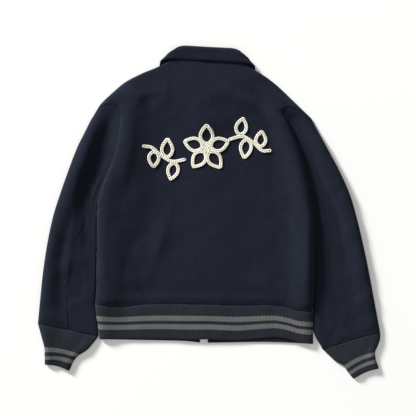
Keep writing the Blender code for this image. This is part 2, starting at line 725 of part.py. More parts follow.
def sleeve_plan(k, f, rows, seam_bow):
    """Plan point of a sleeve at armhole point k, f sections from the armhole."""
    outer, seam, inner = (line[f] for line in rows)
    joint = armhole_share(BACK_SEAM_POINT)
    s = armhole_share(k)
    if s <= joint:
        straight = outer.lerp(seam, s / joint)
    else:
        straight = seam.lerp(inner, (s - joint) / (1 - joint))
    fade = (1 - f / (len(rows[0]) - 1)) ** 2.6
    return straight + fade * seam_bow(k)


def build_sleeve(side, table, armhole_top, armhole_under, cuff_table, sign):
    """A two-piece sleeve and its cuff, as loops over the top layer and back underneath."""
    count = len(table)
    rows = [[Vector((row[c], row[c + 1])) for row in table] for c in (0, 2, 4)]
    last_point = len(ARMHOLE_SHARES) - 1
    joint = armhole_share(BACK_SEAM_POINT)
    point_numbers = list(range(last_point + 1))

    def seam_point(k, heights):
        return between(point_numbers, heights, k)

    def bow(k):
        s = armhole_share(k)
        if s <= joint:
            chord = rows[0][0].lerp(rows[1][0], s / joint)
        else:
            chord = rows[1][0].lerp(rows[2][0], (s - joint) / (1 - joint))
        return seam_point(k, armhole_top).xy - chord

    def point(k, f, top):
        if f == 0:
            return seam_point(k, armhole_top if top else armhole_under).copy()
        p = sleeve_plan(k, f, rows, bow)
        outer, inner = rows[0][f], rows[2][f]
        to_outer, to_inner = (p - outer).length, (p - inner).length
        crest, fold = table[f][6], table[f][7]
        end = soft_step(f - (count - 2))
        round_outer = quarter_round(to_outer / (SLEEVE_RISE if top else 8))
        round_inner = quarter_round(to_inner / (9 if top else 6))
        if top:
            inside = SLEEVE_LAYERS + crest * hump(to_outer, SLEEVE_RISE, SLEEVE_FALL)
            inside += (1 - end) * 1.6 * hump(to_inner, 9, 26)
            to_seam = (p - rows[1][f]).length
            inside += (1 - end) * SEAM_RIDGE * math.exp(-((to_seam / SEAM_RIDGE_HALF) ** 2))
            low = fold + (INNER_FOLD - fold) * (to_outer / max(to_outer + to_inner, 1e-6))
            z = low + (inside - low) * round_outer * round_inner
        else:
            z = max(fold * (1 - round_outer), INNER_FOLD * (1 - round_inner))
        start = seam_point(k, armhole_top if top else armhole_under)
        own = soft_step((p - start.xy).length / ARMHOLE_REACH)
        if k in (0, last_point):
            z = fold if k == 0 else INNER_FOLD
        return Vector((p.x, p.y, start.z + (z - start.z) * own))

    def strip(numbers):
        """Rows of points over the given (armhole point, on the top layer) columns."""
        grid = [[point(k, f, top) for k, top in numbers] for f in range(count)]
        return grid

    half = 0.15 / 20
    outer_turn = [0.45, 0.12, 0, 0.12, 0.45]
    inner_turn = [12.75, 12.94, 13, 12.94, 12.75]
    top_side = [(k, True) for k in [BACK_SEAM_POINT - half, *range(BACK_SEAM_POINT - 1, 0, -1)]]
    top_side += [(k, i < 3) for i, k in enumerate(outer_turn)]
    top_side += [(k, False) for k in [*range(1, FRONT_SEAM_POINT), FRONT_SEAM_POINT - half]]
    under_side = [(k, False) for k in [FRONT_SEAM_POINT + half, *range(FRONT_SEAM_POINT + 1, last_point)]]
    under_side += [(k, i > 2) for i, k in enumerate(inner_turn)]
    under_side += [(k, True) for k in [*range(last_point - 1, BACK_SEAM_POINT, -1), BACK_SEAM_POINT + half]]
    flip = sign > 0
    for name, numbers, tip in ((f"sleeve_{side}_top", top_side, 0),
                               (f"sleeve_{side}_under", under_side, last_point)):
        turns = [[k for k, _ in numbers].index(tip)]
        cloth(name, strip(numbers), WOOL, "melton_wool", flip=flip, turns=turns,
              sides=lambda i: ("seam", "seam"))
    ring = [(BACK_SEAM_POINT, True)] + top_side[1:-1] + [(FRONT_SEAM_POINT, False)] + under_side[1:-1]
    build_cuff(f"cuff_{side}", [point(k, count - 1, top) for k, top in ring], ring, cuff_table, flip)


def build_cuff(name, seam, ring, table, flip):
    """A rib-knit cuff: a flat tube from the sleeve's last section to its open end."""
    last_point = len(ARMHOLE_SHARES) - 1
    numbers = [k for k, _ in ring]
    outer, inner = seam[numbers.index(0)], seam[numbers.index(last_point)]
    run = (inner - outer).xy
    shares = [min(1, max(0, (p - outer).xy.dot(run) / run.length_squared)) for p in seam]
    away = Vector((run.y, -run.x)).normalized().to_3d() * (-1 if flip else 1) * SEAM_GAP
    away *= 1 if away.y < 0 else -1
    grid = [[p + away for p in seam]]
    for i, (ox, oy, ix, iy) in enumerate(table, 1):
        a, b = Vector((ox, oy)), Vector((ix, iy))
        width = (b - a).length
        own = soft_step(i / 2)
        row = []
        for p, s, (k, top) in zip(seam, shares, ring):
            q = a.lerp(b, s)
            q.y += CUFF_BOW * min(1, i / 2) * 4 * s * (1 - s)
            to_edge = min(s, 1 - s) * width
            fold = INNER_FOLD
            if k in (0, last_point):
                z = fold
            elif top:
                inside = CUFF_LAYERS + 1.8 * hump(to_edge, 9, 18)
                z = fold + (inside - fold) * quarter_round(to_edge / 9)
            else:
                z = fold * (1 - quarter_round(to_edge / 6))
            row.append(Vector((q.x, q.y, p.z + (z - p.z) * own)))
        grid.append(row)
    cloth(name, grid, RIB, "rib_knit", flip=flip, loop=True)


# ---------------------------------------------------------------- collar
def build_collar(back, fronts):
    """The stand rises from the neck seam to the fold, and the leaf turns down over it."""
    stations = [(row, -1) for row in COLLAR[::-1]] + [(row, 1) for row in COLLAR[1:]]
    seam = [neck_point(row, sign) for row, sign in stations]
    seam[0].x, seam[-1].x = (fronts[side][-len(COLLAR) + SIDE_STATION][-1].x
                             for side in ("left", "right"))
    outward = [collar_outward(*station) for station in stations]
    top = [collar_place(sign * row[2], row[3], row[4]) + STAND_REACH * out
           for (row, sign), out in zip(stations, outward)]
    rising = [(b - a).normalized() for a, b in zip(seam, top)]
    base = []
    for j, (p, up) in enumerate(zip(seam, rising)):
        along = (seam[min(j + 1, len(seam) - 1)] - seam[max(j - 1, 0)]).normalized()
        away = (up - along * up.dot(along)).normalized()
        base.append(p + (1.3 if abs(stations[j][0][7]) == 90 else 2.4) * SEAM_GAP * away)
    stand = [base, [a.lerp(b, 0.5) for a, b in zip(base, top)], top]
    rims = {(i, j): out for i in range(3) for j, out in enumerate(outward)}
    cloth("collar_stand", stand, STAND_WALL, "melton_wool", rims=rims)

    columns, rims = [], {}
    for j, ((row, sign), out) in enumerate(zip(stations, outward)):
        radius = row[8]
        edge = collar_place(sign * row[5], row[6], ROLL_CENTRE) + LEAF_REACH * out
        up = (rising[j] - out * out.dot(rising[j])).normalized()
        gap = (1.3 if abs(row[0]) < 70 else 3) * SEAM_GAP
        start = top[j] - (STAND_WALL - radius) * out + gap * up
        facing = [math.cos(a) * up + math.sin(a) * out for a in map(math.radians, LEAF_BEND)]
        bend = [start + radius * direction for direction in facing]
        columns.append(bend + [bend[-1].lerp(edge, share) for share in (0.35, 0.7, 1)])
        rims.update({(i, j): direction for i, direction in enumerate(facing + 3 * [out])})
    leaf = [[column[i] for column in columns] for i in range(len(columns[0]))]
    cloth("collar_leaf", leaf, LEAF_WALL, "melton_wool", flip=True, rims=rims, turned=True)


# ---------------------------------------------------------------- zip
def front_height(front, y, from_edge):
    """Height of a front's outer face at y, this far in from its front edge."""
    rows = front[:SIDE_STATION - len(COLLAR) + 1]
    heights = []
    for row in rows:
        edge, beside = row[-1], row[-2]
        heights.append(edge.lerp(beside, from_edge / abs(beside.x - edge.x)).z)
    return between([row[-1].y for row in rows], heights, y)


def zip_strip(name, ys, section, material, wall):
    """A strip along the zip line; section(y) gives the (distance, height) of its two sides."""
    rows = [[Vector((zip_x(y) + x, y, z)) for x, z in section(y)] for y in ys]
    cloth(name, rows, wall, material)


def build_zip(fronts):
    beside_chain = CHAIN_HALF_WIDTH + SEAM_GAP
    tape_end = beside_chain + TAPE_WIDTH
    for side, sign in (("left", -1), ("right", 1)):
        front = fronts[side]

        def section(y, front=front, sign=sign):
            high = TAPE_LOW + TAPE
            near = (sign * beside_chain, front_height(front, y, 0) + high)
            far = (sign * tape_end, front_height(front, y, tape_end - HALF_OPENING) + high)
            return sorted((near, far))

        edge = [row[-1].y for row in front[:SIDE_STATION - len(COLLAR) + 1]]
        ys = [ZIP_BOTTOM + 1, *(y for y in edge if y < ZIP_TOP - 3), ZIP_TOP]
        zip_strip(f"zip_tape_{side}", ys, section, "zip_tape", TAPE)

    def chain_section(y):
        z = TAPE_LOW + TAPE / 2 + CHAIN_THICK / 2 + front_height(fronts["left"], y, 0)
        return (-CHAIN_HALF_WIDTH, z), (CHAIN_HALF_WIDTH, z)

    low, high = ZIP_BOTTOM + BOX_LENGTH + SEAM_GAP, SLIDER_Y + 1.8
    ys = [low, *(row[-1].y for row in fronts["left"][:-6] if low + 3 < row[-1].y < high - 3), high]
    zip_strip("zip_chain", ys, chain_section, "brass", CHAIN_THICK)
    box_y = ZIP_BOTTOM + BOX_LENGTH / 2
    middle = TAPE_LOW + TAPE / 2
    zip_box = box("zip_box", (zip_x(box_y), box_y, middle),
                  (2 * CHAIN_HALF_WIDTH, BOX_LENGTH, BOX_THICK), "brass")
    edges = zip_box.modifiers.new("rounded edges", "BEVEL")
    edges.width = 0.5 * MM
    edges.segments = 2
    build_slider(middle + front_height(fronts["left"], SLIDER_Y, 0))


def build_slider(z):
    """The slider: two plates joined by a wedge, edges that grip the chain, and a bridge."""
    x = zip_x(SLIDER_Y)
    half_gap = CHAIN_THICK / 2 + 0.2
    plate_z = half_gap + PLATE / 2
    slider = box("zip_slider", (x, SLIDER_Y, z + plate_z),
                 (2 * SLIDER_HALF_WIDTH, SLIDER_LENGTH, PLATE), "brass")
    grip = half_gap - 0.7
    bridge = BRIDGE_HEIGHT + 0.2
    pieces = [
        ("front plate", (0, 0, -plate_z), (2 * SLIDER_HALF_WIDTH, SLIDER_LENGTH, PLATE)),
        ("wedge", (0, SLIDER_LENGTH / 2 - 1.9, 0), (3.4, 3.2, 2 * half_gap + PLATE)),
        ("bridge bar", (0, 0, -half_gap - PLATE - BRIDGE_HEIGHT + 0.4), (1.6, 4.6, 0.8)),
    ]
    for side in (-1, 1):
        foot = (0, side * 1.9, -half_gap - PLATE - BRIDGE_HEIGHT / 2)
        pieces.append((f"bridge foot {side}", foot, (1.6, 0.8, bridge)))
        for layer in (-1, 1):
            middle = (side * (SLIDER_HALF_WIDTH - 0.3), 0, layer * (half_gap - grip / 2 + 0.1))
            pieces.append((f"grip {side} {layer}", middle, (0.6, SLIDER_LENGTH, grip + 0.2)))
    for name, (px, py, pz), size in pieces:
        combine(slider, box(name, (x + px, SLIDER_Y + py, z + pz), size), "UNION")
    build_pull(x, z - half_gap - PLATE - HINGE_DROP)


def build_pull(x, z):
    """The pull tab: a flat plate with a window, hung on a round bar through the bridge."""
    tab = box("zip_pull", (x, SLIDER_Y, z), (5.0, TAB_LENGTH, TAB_THICK), "brass")
    for v in tab.data.vertices:
        v.co.y -= MM * (TAB_LENGTH - TAB_THICK) / 2
        v.co.x *= 1.0 if v.co.y > -MM * TAB_LENGTH / 2 else 0.8
    window = box("pull window", (x, SLIDER_Y - TAB_THICK / 2 - 1.55, z), (2.6, 3.1, 4))
    combine(tab, window, "DIFFERENCE")
    window.parent = tab
    window.matrix_parent_inverse = tab.matrix_world.inverted()
    tab.rotation_euler.x = TAB_DROP


# ---------------------------------------------------------------- scene
def paint(name, colour, roughness, metallic):
    material = bpy.data.materials.new(name)
    material.use_nodes = True
    shader = material.node_tree.nodes["Principled BSDF"]
    linear = [c / 12.92 if c < 0.04 else ((c + 0.055) / 1.055) ** 2.4 for c in colour]
    shader.inputs["Base Color"].default_value = (*linear, 1)
    shader.inputs["Roughness"].default_value = roughness
    shader.inputs["Metallic"].default_value = metallic


def collection(name, hidden=False):
    made = bpy.data.collections.new(name)
    bpy.context.scene.collection.children.link(made)
    made.hide_render = hidden
    return made


for old in list(bpy.data.objects):
    bpy.data.objects.remove(old)
for slot, (colour, roughness, metallic) in COLOURS.items():
    paint(slot, colour, roughness, metallic)
jacket = collection("golf_jacket")
helpers = collection("cutters", hidden=True)

for side, sign, table, armhole, cuff in (
    ("left", -1, LEFT_SLEEVE, LEFT_ARMHOLE, LEFT_CUFF),
    ("right", 1, RIGHT_SLEEVE, RIGHT_ARMHOLE, RIGHT_CUFF),
):
    top, under = seam_3d(armhole, ARMHOLE_TOP), seam_3d(armhole, ARMHOLE_UNDER)
    top, under = (stepped_off(line, SEAM_GAP, sign) for line in (top, under))
    build_sleeve(side, table, top, under, cuff, sign)
back_panel, front_panels = build_body()
build_band(back_panel, front_panels)
build_collar(back_panel, front_panels)
build_zip(front_panels)
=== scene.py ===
"""Golf jacket laid face down: the looks of each piece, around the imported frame.

Tables and lengths are in millimetres in the frame's axes: back panel up, collar toward +Y.
Each cloth piece is a thin closed shell on its solid's form: sections give a coarse grid, a
spline refines it, and its folds, seams and ribs are moved out of it.
"""

import math

import bpy
import numpy as np
from mathutils import Matrix, Vector
from mathutils.bvhtree import BVHTree


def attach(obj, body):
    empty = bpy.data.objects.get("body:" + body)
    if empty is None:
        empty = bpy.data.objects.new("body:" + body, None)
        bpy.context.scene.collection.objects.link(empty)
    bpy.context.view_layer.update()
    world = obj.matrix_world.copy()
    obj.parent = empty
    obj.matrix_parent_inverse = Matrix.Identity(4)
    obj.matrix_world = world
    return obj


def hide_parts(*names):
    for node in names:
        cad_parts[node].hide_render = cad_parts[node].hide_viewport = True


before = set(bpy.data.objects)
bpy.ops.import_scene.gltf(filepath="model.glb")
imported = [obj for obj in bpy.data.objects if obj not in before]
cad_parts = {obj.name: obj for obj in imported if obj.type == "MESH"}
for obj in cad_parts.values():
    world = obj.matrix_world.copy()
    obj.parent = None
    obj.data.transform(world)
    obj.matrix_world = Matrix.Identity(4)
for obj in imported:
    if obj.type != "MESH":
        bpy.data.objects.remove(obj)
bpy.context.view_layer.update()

MM = 0.001

# Cloth walls
WOOL = 2.4
RIB = 2.6
STAND_WALL = 2.4
LEAF_WALL = 3.0
TAPE = 0.6
SEAM_GAP = 0.3

# How the layers lie
TWO_LAYERS = 6.2        # outer face of the back above the surface, where the panels lie flat
SWELL = 2.6             # soft rise of the back between its edges
COLLAR_LIFT = 3.8       # the fronts ride this high over the turned-down collar
LIFT_MARGIN = 12        # they do so this far outside the leaf's edge, and settle
LIFT_RAMP = 50          # over this distance
EDGE_HALF = 3.1         # height of a shoulder edge above the cloth it rests on
SIDE_EDGE = 5.6         # height of the side seams
SWELL_RUN = 90          # the back's swell is full this far in from its sides,
SWELL_START = 0.12      # from this share of the way up from the hem,
SWELL_END = 0.8         # to this one,
SWELL_FADE = 0.15       # and gone this much further up
CREASE_START = 0.08     # the back's folds are full from this share of the way up
SHOULDER_ROLL = 1.6     # the cloth stands this much higher inside a turned shoulder edge
EDGE_ROLL = 9           # a shoulder edge or an inner fold turns over within this distance,
EDGE_SETTLE = 26        # and the cloth inside it settles over this one
UNDER_ROLL = 8          # the same for the side seams and outer folds of the under layer,
UNDER_INNER_ROLL = 6    # for its inner folds,
FRONT_TOP_ROLL = 5      # and for its top edge

# Front opening: the line of the zip, and half of the gap between the fronts
ZIP_LINE = [(-12.4, -310), (-12.0, -100), (-11.2, 100), (-9.8, 200), (-8.0, 272)]
HALF_OPENING = 9.5

# Outline of the body, left and right as seen from above: side seams from hem to underarm
LEFT_SIDE = [(-267, -215), (-265, -170), (-264, -116), (-264, -53), (-262, 22)]
RIGHT_SIDE = [(242, -231), (246, -182), (247, -116), (247, -65), (245, -15)]
# Armhole seams from the shoulder tip to the underarm
LEFT_ARMHOLE = [
    (-262, 242), (-247, 249), (-228, 253), (-212, 244), (-207, 222), (-210, 194),
    (-217, 159), (-224, 128), (-234, 102), (-248, 67), (-262, 22),
]
RIGHT_ARMHOLE = [
    (238, 222), (224, 230.5), (208, 238.5), (188, 246), (173, 246), (171, 236), (178, 221),
    (190, 199), (204, 168), (216, 140), (224, 107), (231, 69), (238, 27), (245, -15),
]
# Shoulder seams from the tip to the side of the neck
LEFT_SHOULDER = [(-262, 242), (-252, 257), (-230, 278), (-202, 303), (-161, 325), (-118, 343)]
RIGHT_SHOULDER = [(238, 222), (213, 246), (181, 278), (147, 309), (111, 332)]
# Top seam of the hem band, its two sides, and its lower edge on the back and front layers
HEM_SEAM = [
    (-267, -215), (-220, -220), (-168, -217), (-125, -215), (-22, -215), (67, -217),
    (138, -217), (166, -219), (189, -224), (209, -229), (242, -231),
]
MIDDLE_HEM_Y = -215     # y of the seam where it meets the zip
BAND_BACK_EDGE = [
    (-256, -297), (-208, -296), (-109, -296), (-45, -297.5), (-12, -296.6), (22, -298), (67, -300),
    (128, -294), (148, -292), (175, -294), (209, -304), (243, -308),
]
BAND_FRONT_EDGE = [(-256, -297), (-150, -299), (-60, -301), (-20, -305), (20, -305),
                   (138, -303.5), (243, -308)]
BAND_FOLD = 4.2         # height of the hem band's side folds at its lower edge
BAND_CREST = 3.0        # the band stands this much higher inside its side folds,
BAND_ROLL = 12          # this far in,
BAND_SETTLE = 40        # and settles over this distance
BAND_ROWS = (0, 0.25, 0.6, 1)   # its rows from the seam to the lower edge
BAND_END_Y = -300       # its two ends stop beside the zip, as that lies here

# Rows of the body between hem and underarm, and seam points of the armhole as shares of it
SIDE_ROWS = 8
UNDERARM_SHARE = 0.45
LOW_BOW_FADE = 2.5      # how fast the bow of the hem fades up the body, as a power
HIGH_BOW_FADE = 3       # and that of the shoulders and neck down it
COLUMNS_BY_WIDTH = 0.6  # a panel's columns are spaced this much by width, the rest by length
ARMHOLE_SHARES = [0, 0.05, 0.11, 0.18, 0.25, 0.32, 0.40, 0.49, 0.58, 0.67, 0.75, 0.83, 0.915, 1]
# Height of the outer face along the armhole seam, on the back and on the front layer
ARMHOLE_TOP = [3.4, 8.6, 9.6, 10.6, 11, 10.4, 9.6, 9, 8.8, 8.8, 8.8, 8.6, 8, 5.6]
ARMHOLE_UNDER = [3.4, 0.5, 0, 0, 0, 0, 0, 0, 0, 0, 0, 0.2, 1.6, 5.6]
BACK_SEAM_POINT = 9     # the sleeve's back seam starts at this armhole point
FRONT_SEAM_POINT = 10   # and its front seam, underneath, at this one

# Swelling along the body's outer edge. share: 0 hem, 0.45 underarm, 1 shoulder tip
EDGE_CREST = [
    # share, left height, right height
    (0.00, 6.5, 7.5),
    (0.06, 10.0, 13.0),
    (0.20, 12.0, 17.0),
    (0.45, 12.5, 15.0),
    (0.70, 11.0, 11.5),
    (0.88, 8.0, 8.0),
    (0.95, 3.0, 4.0),
    (1.00, 1.2, 1.2),
]
CREST_RISE = 17
CREST_FALL = 62

# Largest folds of the back: ridges and troughs from a to b
BACK_FOLDS = [
    # name, ax, ay, bx, by, height, half width
    ("left diagonal", -96, -5, -142, -150, 3.4, 17),
    ("right shoulder drag", 14, 302, 169, 206, 3.6, 18),
    ("left shoulder break", -200, 276, -118, 268, 2.6, 18),
    ("right hem pull", 120, -165, 168, -198, 2.6, 18),
    ("hollow beside the left side", -150, 60, -160, -60, -1.4, 40),
]
FOLD_END = 0.55         # a fold's height at its ends, as a share of its middle's

# Sleeve sections from the armhole to the cuff seam.
# outer fold x, y | back seam x, y | inner fold x, y | crest by the outer fold | outer fold height
LEFT_SLEEVE = [
    (-262, 242, -229, 121, -263, 22, 2.0, 3.4),
    (-278, 214, -245, 93, -264.8, 14, 5.0, 4.4),
    (-294, 182, -262, 66, -264.8, 1, 8.0, 5.4),
    (-311, 147, -276, 34, -264.6, -20, 10.0, 6.0),
    (-329, 100, -290, -8, -264.8, -55, 10.5, 6.0),
    (-349, 43, -306, -53, -264.8, -95, 9.5, 6.0),
    (-365, -8, -319, -95, -265, -135, 8.5, 6.0),
    (-378, -68, -328, -145, -266, -177, 8.5, 6.0),
    (-389, -140, -333, -194, -267.8, -217, 8.5, 5.8),
    (-396, -208, -333, -236, -262.5, -255, 8.0, 5.4),
    (-401, -260, -329, -274, -260.5, -290, 4.0, 4.4),
]
RIGHT_SLEEVE = [
    (238, 222, 221, 123, 246, -15, 2.0, 3.4),
    (253, 194, 231, 98, 247, -24, 5.0, 4.4),
    (270, 163, 244, 68, 247.4, -36, 7.5, 5.4),
    (286, 133, 255, 34, 247.6, -58, 9.0, 6.0),
    (306, 95, 267, -13, 247.9, -90, 9.5, 6.0),
    (329, 43, 278, -65, 247.8, -128, 9.5, 6.0),
    (345, -11, 285, -114, 247.3, -166, 9.5, 6.0),
    (359, -69, 290, -161, 245.6, -201, 9.5, 6.0),
    (372, -130, 293, -206, 243.6, -236, 9.0, 5.8),
    (385, -199, 297, -255, 245, -278, 8.0, 5.4),
    (400, -280, 325, -300, 267, -321, 4.0, 4.4),
]
SEAM_STEP = 0.0075      # a sleeve piece stops this far before a seam, in armhole points
# Armhole points round a sleeve's outer fold, the first three on the top layer, and round its
# inner fold, from the underarm, the last two on the top layer
TURN = [0.45, 0.12, 0, 0.12, 0.45]
INNER_TURN = [0.25, 0.06, 0, 0.06, 0.25]
SLEEVE_LAYERS = 6.0
INNER_FOLD = 3.6        # height of a sleeve's inner fold
SLEEVE_RISE = 15
SLEEVE_FALL = 50
SEAM_RIDGE = 2.2        # the cloth rises again along the back seam
SEAM_RIDGE_HALF = 24
ARMHOLE_REACH = 55      # the sleeve's own form takes over this far from the armhole
ARMHOLE_BOW_FADE = 2.6  # how fast the armhole's bow fades down the sleeve, as a power

# Cuff sections after the seam: outer fold x, y | inner fold x, y
LEFT_CUFF = [
    (-395, -283, -270, -303), (-390, -302, -287, -322), (-386, -318, -305, -334),
    (-385.5, -337, -317, -346), (-385, -357, -329, -371),
]
RIGHT_CUFF = [
    (400, -297, 280, -333), (394, -314, 296, -348), (388.5, -327, 316, -359),
    (390, -345, 327, -375), (397, -366, 339, -390),
]
CUFF_LAYERS = 6.4
CUFF_CREST = 1.8        # a cuff stands this much higher inside its folds,
CUFF_ROLL = 9           # this far in,
CUFF_SETTLE = 18        # and settles over this distance
CUFF_BOW = 4            # a cuff's end and stripes bow in by this much
CUFF_SETTLED = 2        # the section from which a cuff has its own form

# Collar, half of it from the back centre to the front end, in its own axes.
# Each point is the centre line of its roll; turn is the direction its outer face looks in:
# 90 up on the back, 0 sideways over the shoulder edge, -90 down on the front.
# neck x, y | stand top x, y, z | leaf edge x, y | turn | roll radius
COLLAR = [
    (0, 362, 0, 383, 5.3, 0, 356, 90, 3.9),
    (31, 361.8, 32, 383.2, 5.4, 33, 356, 90, 3.9),
    (58, 361, 58, 382.8, 5.8, 61, 356, 90, 3.9),
    (76, 359, 73, 378.2, 6.3, 80, 355.3, 90, 3.85),
    (85, 356.3, 81, 371, 6.7, 91, 353.2, 72, 3.75),
    (90, 352.8, 86, 364.8, 6.9, 100, 349, 40, 3.7),
    (92, 350, 88, 361, 7.0, 105.5, 344.5, 0, 3.6),
    (92.7, 347.6, 88, 358, 7.15, 109, 339.5, -50, 3.5),
    (92.2, 341, 85.5, 351.5, 7.55, 109, 329, -80, 3.45),
    (84, 322, 76, 338.5, 7.6, 101, 312, -90, 3.45),
    (67, 299, 58, 322, 7.6, 85, 289, -90, 3.45),
    (38, 280, 34, 307, 7.6, 60, 259, -90, 3.45),
    (9.5, 272, 11, 300, 7.6, 34, 232, -90, 3.45),
]
SIDE_STATION = 6        # the collar's station at the shoulder edge
SIDE_OUTWARD = (0.74, 0.67)     # the way the right side's fold looks, in the collar's axes
COLLAR_MIDDLE = (-3.3, 356)
COLLAR_TILT = math.radians(-3.1)
ROLL_CENTRE = 6.9       # height of the roll's centre line at the neck seam
STAND_REACH = 3.1       # from that centre line to the stand's outer face
LEAF_REACH = 6.9        # and to the leaf's outer face
LEAF_BEND = (-90, -50, -5, 40, 90)      # points of the leaf's roll, in degrees
LEAF_ROWS = (0.35, 0.7, 1)              # and its rows from the roll to its edge
STAND_GAP = 0.39        # from the neck seam to the stand, and where the collar turns
TURNING_STAND_GAP = 0.72
LEAF_GAP = 0.39         # from the stand to the leaf, and further out than LEAF_GAP_X
TURNING_LEAF_GAP = 0.9
LEAF_GAP_X = 70

# Zip
CHAIN_HALF_WIDTH = 3.0
CHAIN_THICK = 2.4
TAPE_LOW = 2.9          # height of the tapes' near face above the fronts' outer face
TAPE_WIDTH = 12.4
TAPE_SHORT = 1          # the tapes start this far above the zip's end
TAPE_ROW = 3            # no row of a tape is closer to its top than this
ZIP_BOTTOM = -295
ZIP_TOP = 268
BOX_LENGTH = 10
ZIP_RIDGE = 1.4         # the back lies this much higher over the zip,
ZIP_RIDGE_HALF = 42     # and is back down this far beside it,
ZIP_RIDGE_END = 318     # and from here on towards the collar,
ZIP_RIDGE_FADE = 34     # over this distance
SLIDER_RIDGE = 1.2      # it lies this much higher again over the slider,
SLIDER_RIDGE_HALF = 60  # and is back down this far along the zip
SLIDER_Y = 256
SLIDER_LENGTH = 13
TOOTH_PITCH = 2.6       # on each side
TOOTH_LENGTH = 1.15     # along the zip
# A tooth's outline: place across the zip, and height in half thicknesses of the chain
TOOTH = [(-3.15, -0.8), (-2.8, -1), (-0.5, -1), (0.75, -0.55),
         (0.75, 0.55), (-0.5, 1), (-2.8, 1), (-3.15, 0.8)]

# Rib knit
RIB_PITCH = 3.4         # from one ridge to the next
RIB_HEIGHT = 0.42       # a ridge above the middle of the knit
STITCH_HEIGHT = 2.4
RIB_STRIPES = [0, 0.329, 0.476, 0.573, 0.72, 1]     # hem band, from its seam: stripe borders
CUFF_STRIPES = [0, 0.552, 0.66, 0.757, 0.852, 1]
BAND_LENGTH, BAND_RIBS = 82, 302        # along the ribs, and how many there are
CUFF_LENGTH, CUFF_RIBS = 94, 62

# Creases of the upper side, each a curve through three points, in plan
CREASES = [
    # name, ax, ay, mx, my, bx, by, height, half width left and right of the curve
    ("left shoulder hollow", -186, 262, -150, 262, -106, 268, -0.9, 22, 22),
    ("left shoulder ridge", -214, 276, -165, 274, -108, 286, 1.3, 12, 9),
    ("left side hollow", -100, 224, -108, 70, -150, -170, -4.0, 70, 46),
    ("left side swell", -184, 240, -188, 60, -206, -180, 5.4, 44, 26),
    ("left diagonal", -97, -14, -117, -80, -141, -148, 1.1, 9, 13),
    ("beside the diagonal", -168, -38, -180, -88, -196, -128, -1.8, 15, 17),
    ("low left hollow", -158, -150, -150, -172, -128, -196, -1.2, 16, 14),
    ("right shoulder drag", 18, 300, 100, 256, 171, 204, 1.3, 9, 12),
    ("above the drag", 62, 292, 116, 264, 164, 232, -2.2, 13, 13),
    ("below the drag", 20, 262, 84, 236, 140, 196, -0.9, 16, 20),
    ("right armhole pull", 222, 226, 192, 240, 150, 249, 1.8, 8, 6),
    ("right armhole crest", 164, 216, 199, 130, 224, 30, 4.2, 13, 20),
    ("right side crest", 228, 50, 232, -60, 228, -196, 3.0, 14, 13),
    ("right blade hollow", 148, 150, 138, 96, 150, 30, -1.0, 22, 26),
    ("right side break", 196, 62, 186, 10, 190, -60, -1.2, 14, 18),
    ("right low pull", 108, -150, 140, -176, 186, -198, 1.0, 10, 14),
    ("right low hollow", 126, -128, 158, -150, 204, -164, -1.1, 12, 15),
    ("middle hollow", -34, 60, -22, -20, -30, -110, -0.7, 30, 34),
    ("middle swell", 48, 40, 56, -40, 44, -130, 0.7, 34, 30),
    ("left sleeve head crease", -263, 240, -247, 231, -232, 217, -2.0, 5, 6),
    ("left sleeve head swell", -276, 222, -262, 206, -240, 196, 1.1, 9, 10),
    ("left armhole valley", -220, 240, -256, 150, -290, 46, -4.0, 16, 11),
    ("left arm inner valley", -296, 90, -287, 2, -272, -150, -4.2, 16, 13),
    ("left arm swell", -262, 224, -302, 90, -336, -130, 6.0, 14, 22),
    ("left arm break", -330, 70, -306, 44, -278, 30, -1.5, 8, 12),
    ("left elbow drag", -352, -20, -322, -46, -284, -56, 1.0, 8, 11),
    ("left elbow hollow", -360, -52, -330, -76, -290, -88, -1.3, 9, 13),
    ("left inner hollow", -274, -70, -270, -140, -272, -230, -1.6, 10, 11),
    ("left forearm swell", -376, -120, -346, -122, -300, -104, 1.6, 12, 26),
    ("left forearm hollow", -352, -214, -330, -204, -296, -180, -2.0, 24, 13),
    ("left wrist puff", -396, -240, -350, -254, -290, -276, 1.5, 9, 10),
    ("left wrist hollow", -384, -214, -346, -226, -300, -236, -0.9, 10, 9),
    ("right armhole valley", 198, 214, 235, 133, 266, 31, -6.0, 12, 17),
    ("right head swell", 252, 200, 262, 170, 268, 128, 1.2, 10, 12),
    ("right arm break", 318, 62, 292, 40, 262, 30, -1.5, 12, 8),
    ("right arm swell", 296, 120, 312, 74, 330, 22, 1.0, 12, 12),
    ("right elbow drag", 346, -28, 316, -58, 276, -66, 1.0, 11, 8),
    ("right elbow hollow", 352, -62, 320, -88, 272, -100, -0.8, 15, 11),
    ("right inner pocket", 288, 20, 303, -120, 296, -270, -4.6, 14, 32),
    ("right inner rise", 250, -30, 256, -150, 256, -250, 1.6, 12, 9),
    ("right forearm swell", 366, -120, 338, -146, 300, -150, 0.4, 12, 10),
    ("right forearm hollow", 372, -166, 344, -192, 306, -204, -1.4, 14, 12),
    ("right wrist puff", 398, -258, 356, -274, 300, -296, 1.1, 10, 9),
    ("right wrist hollow", 388, -226, 350, -246, 304, -262, -0.9, 9, 10),
]
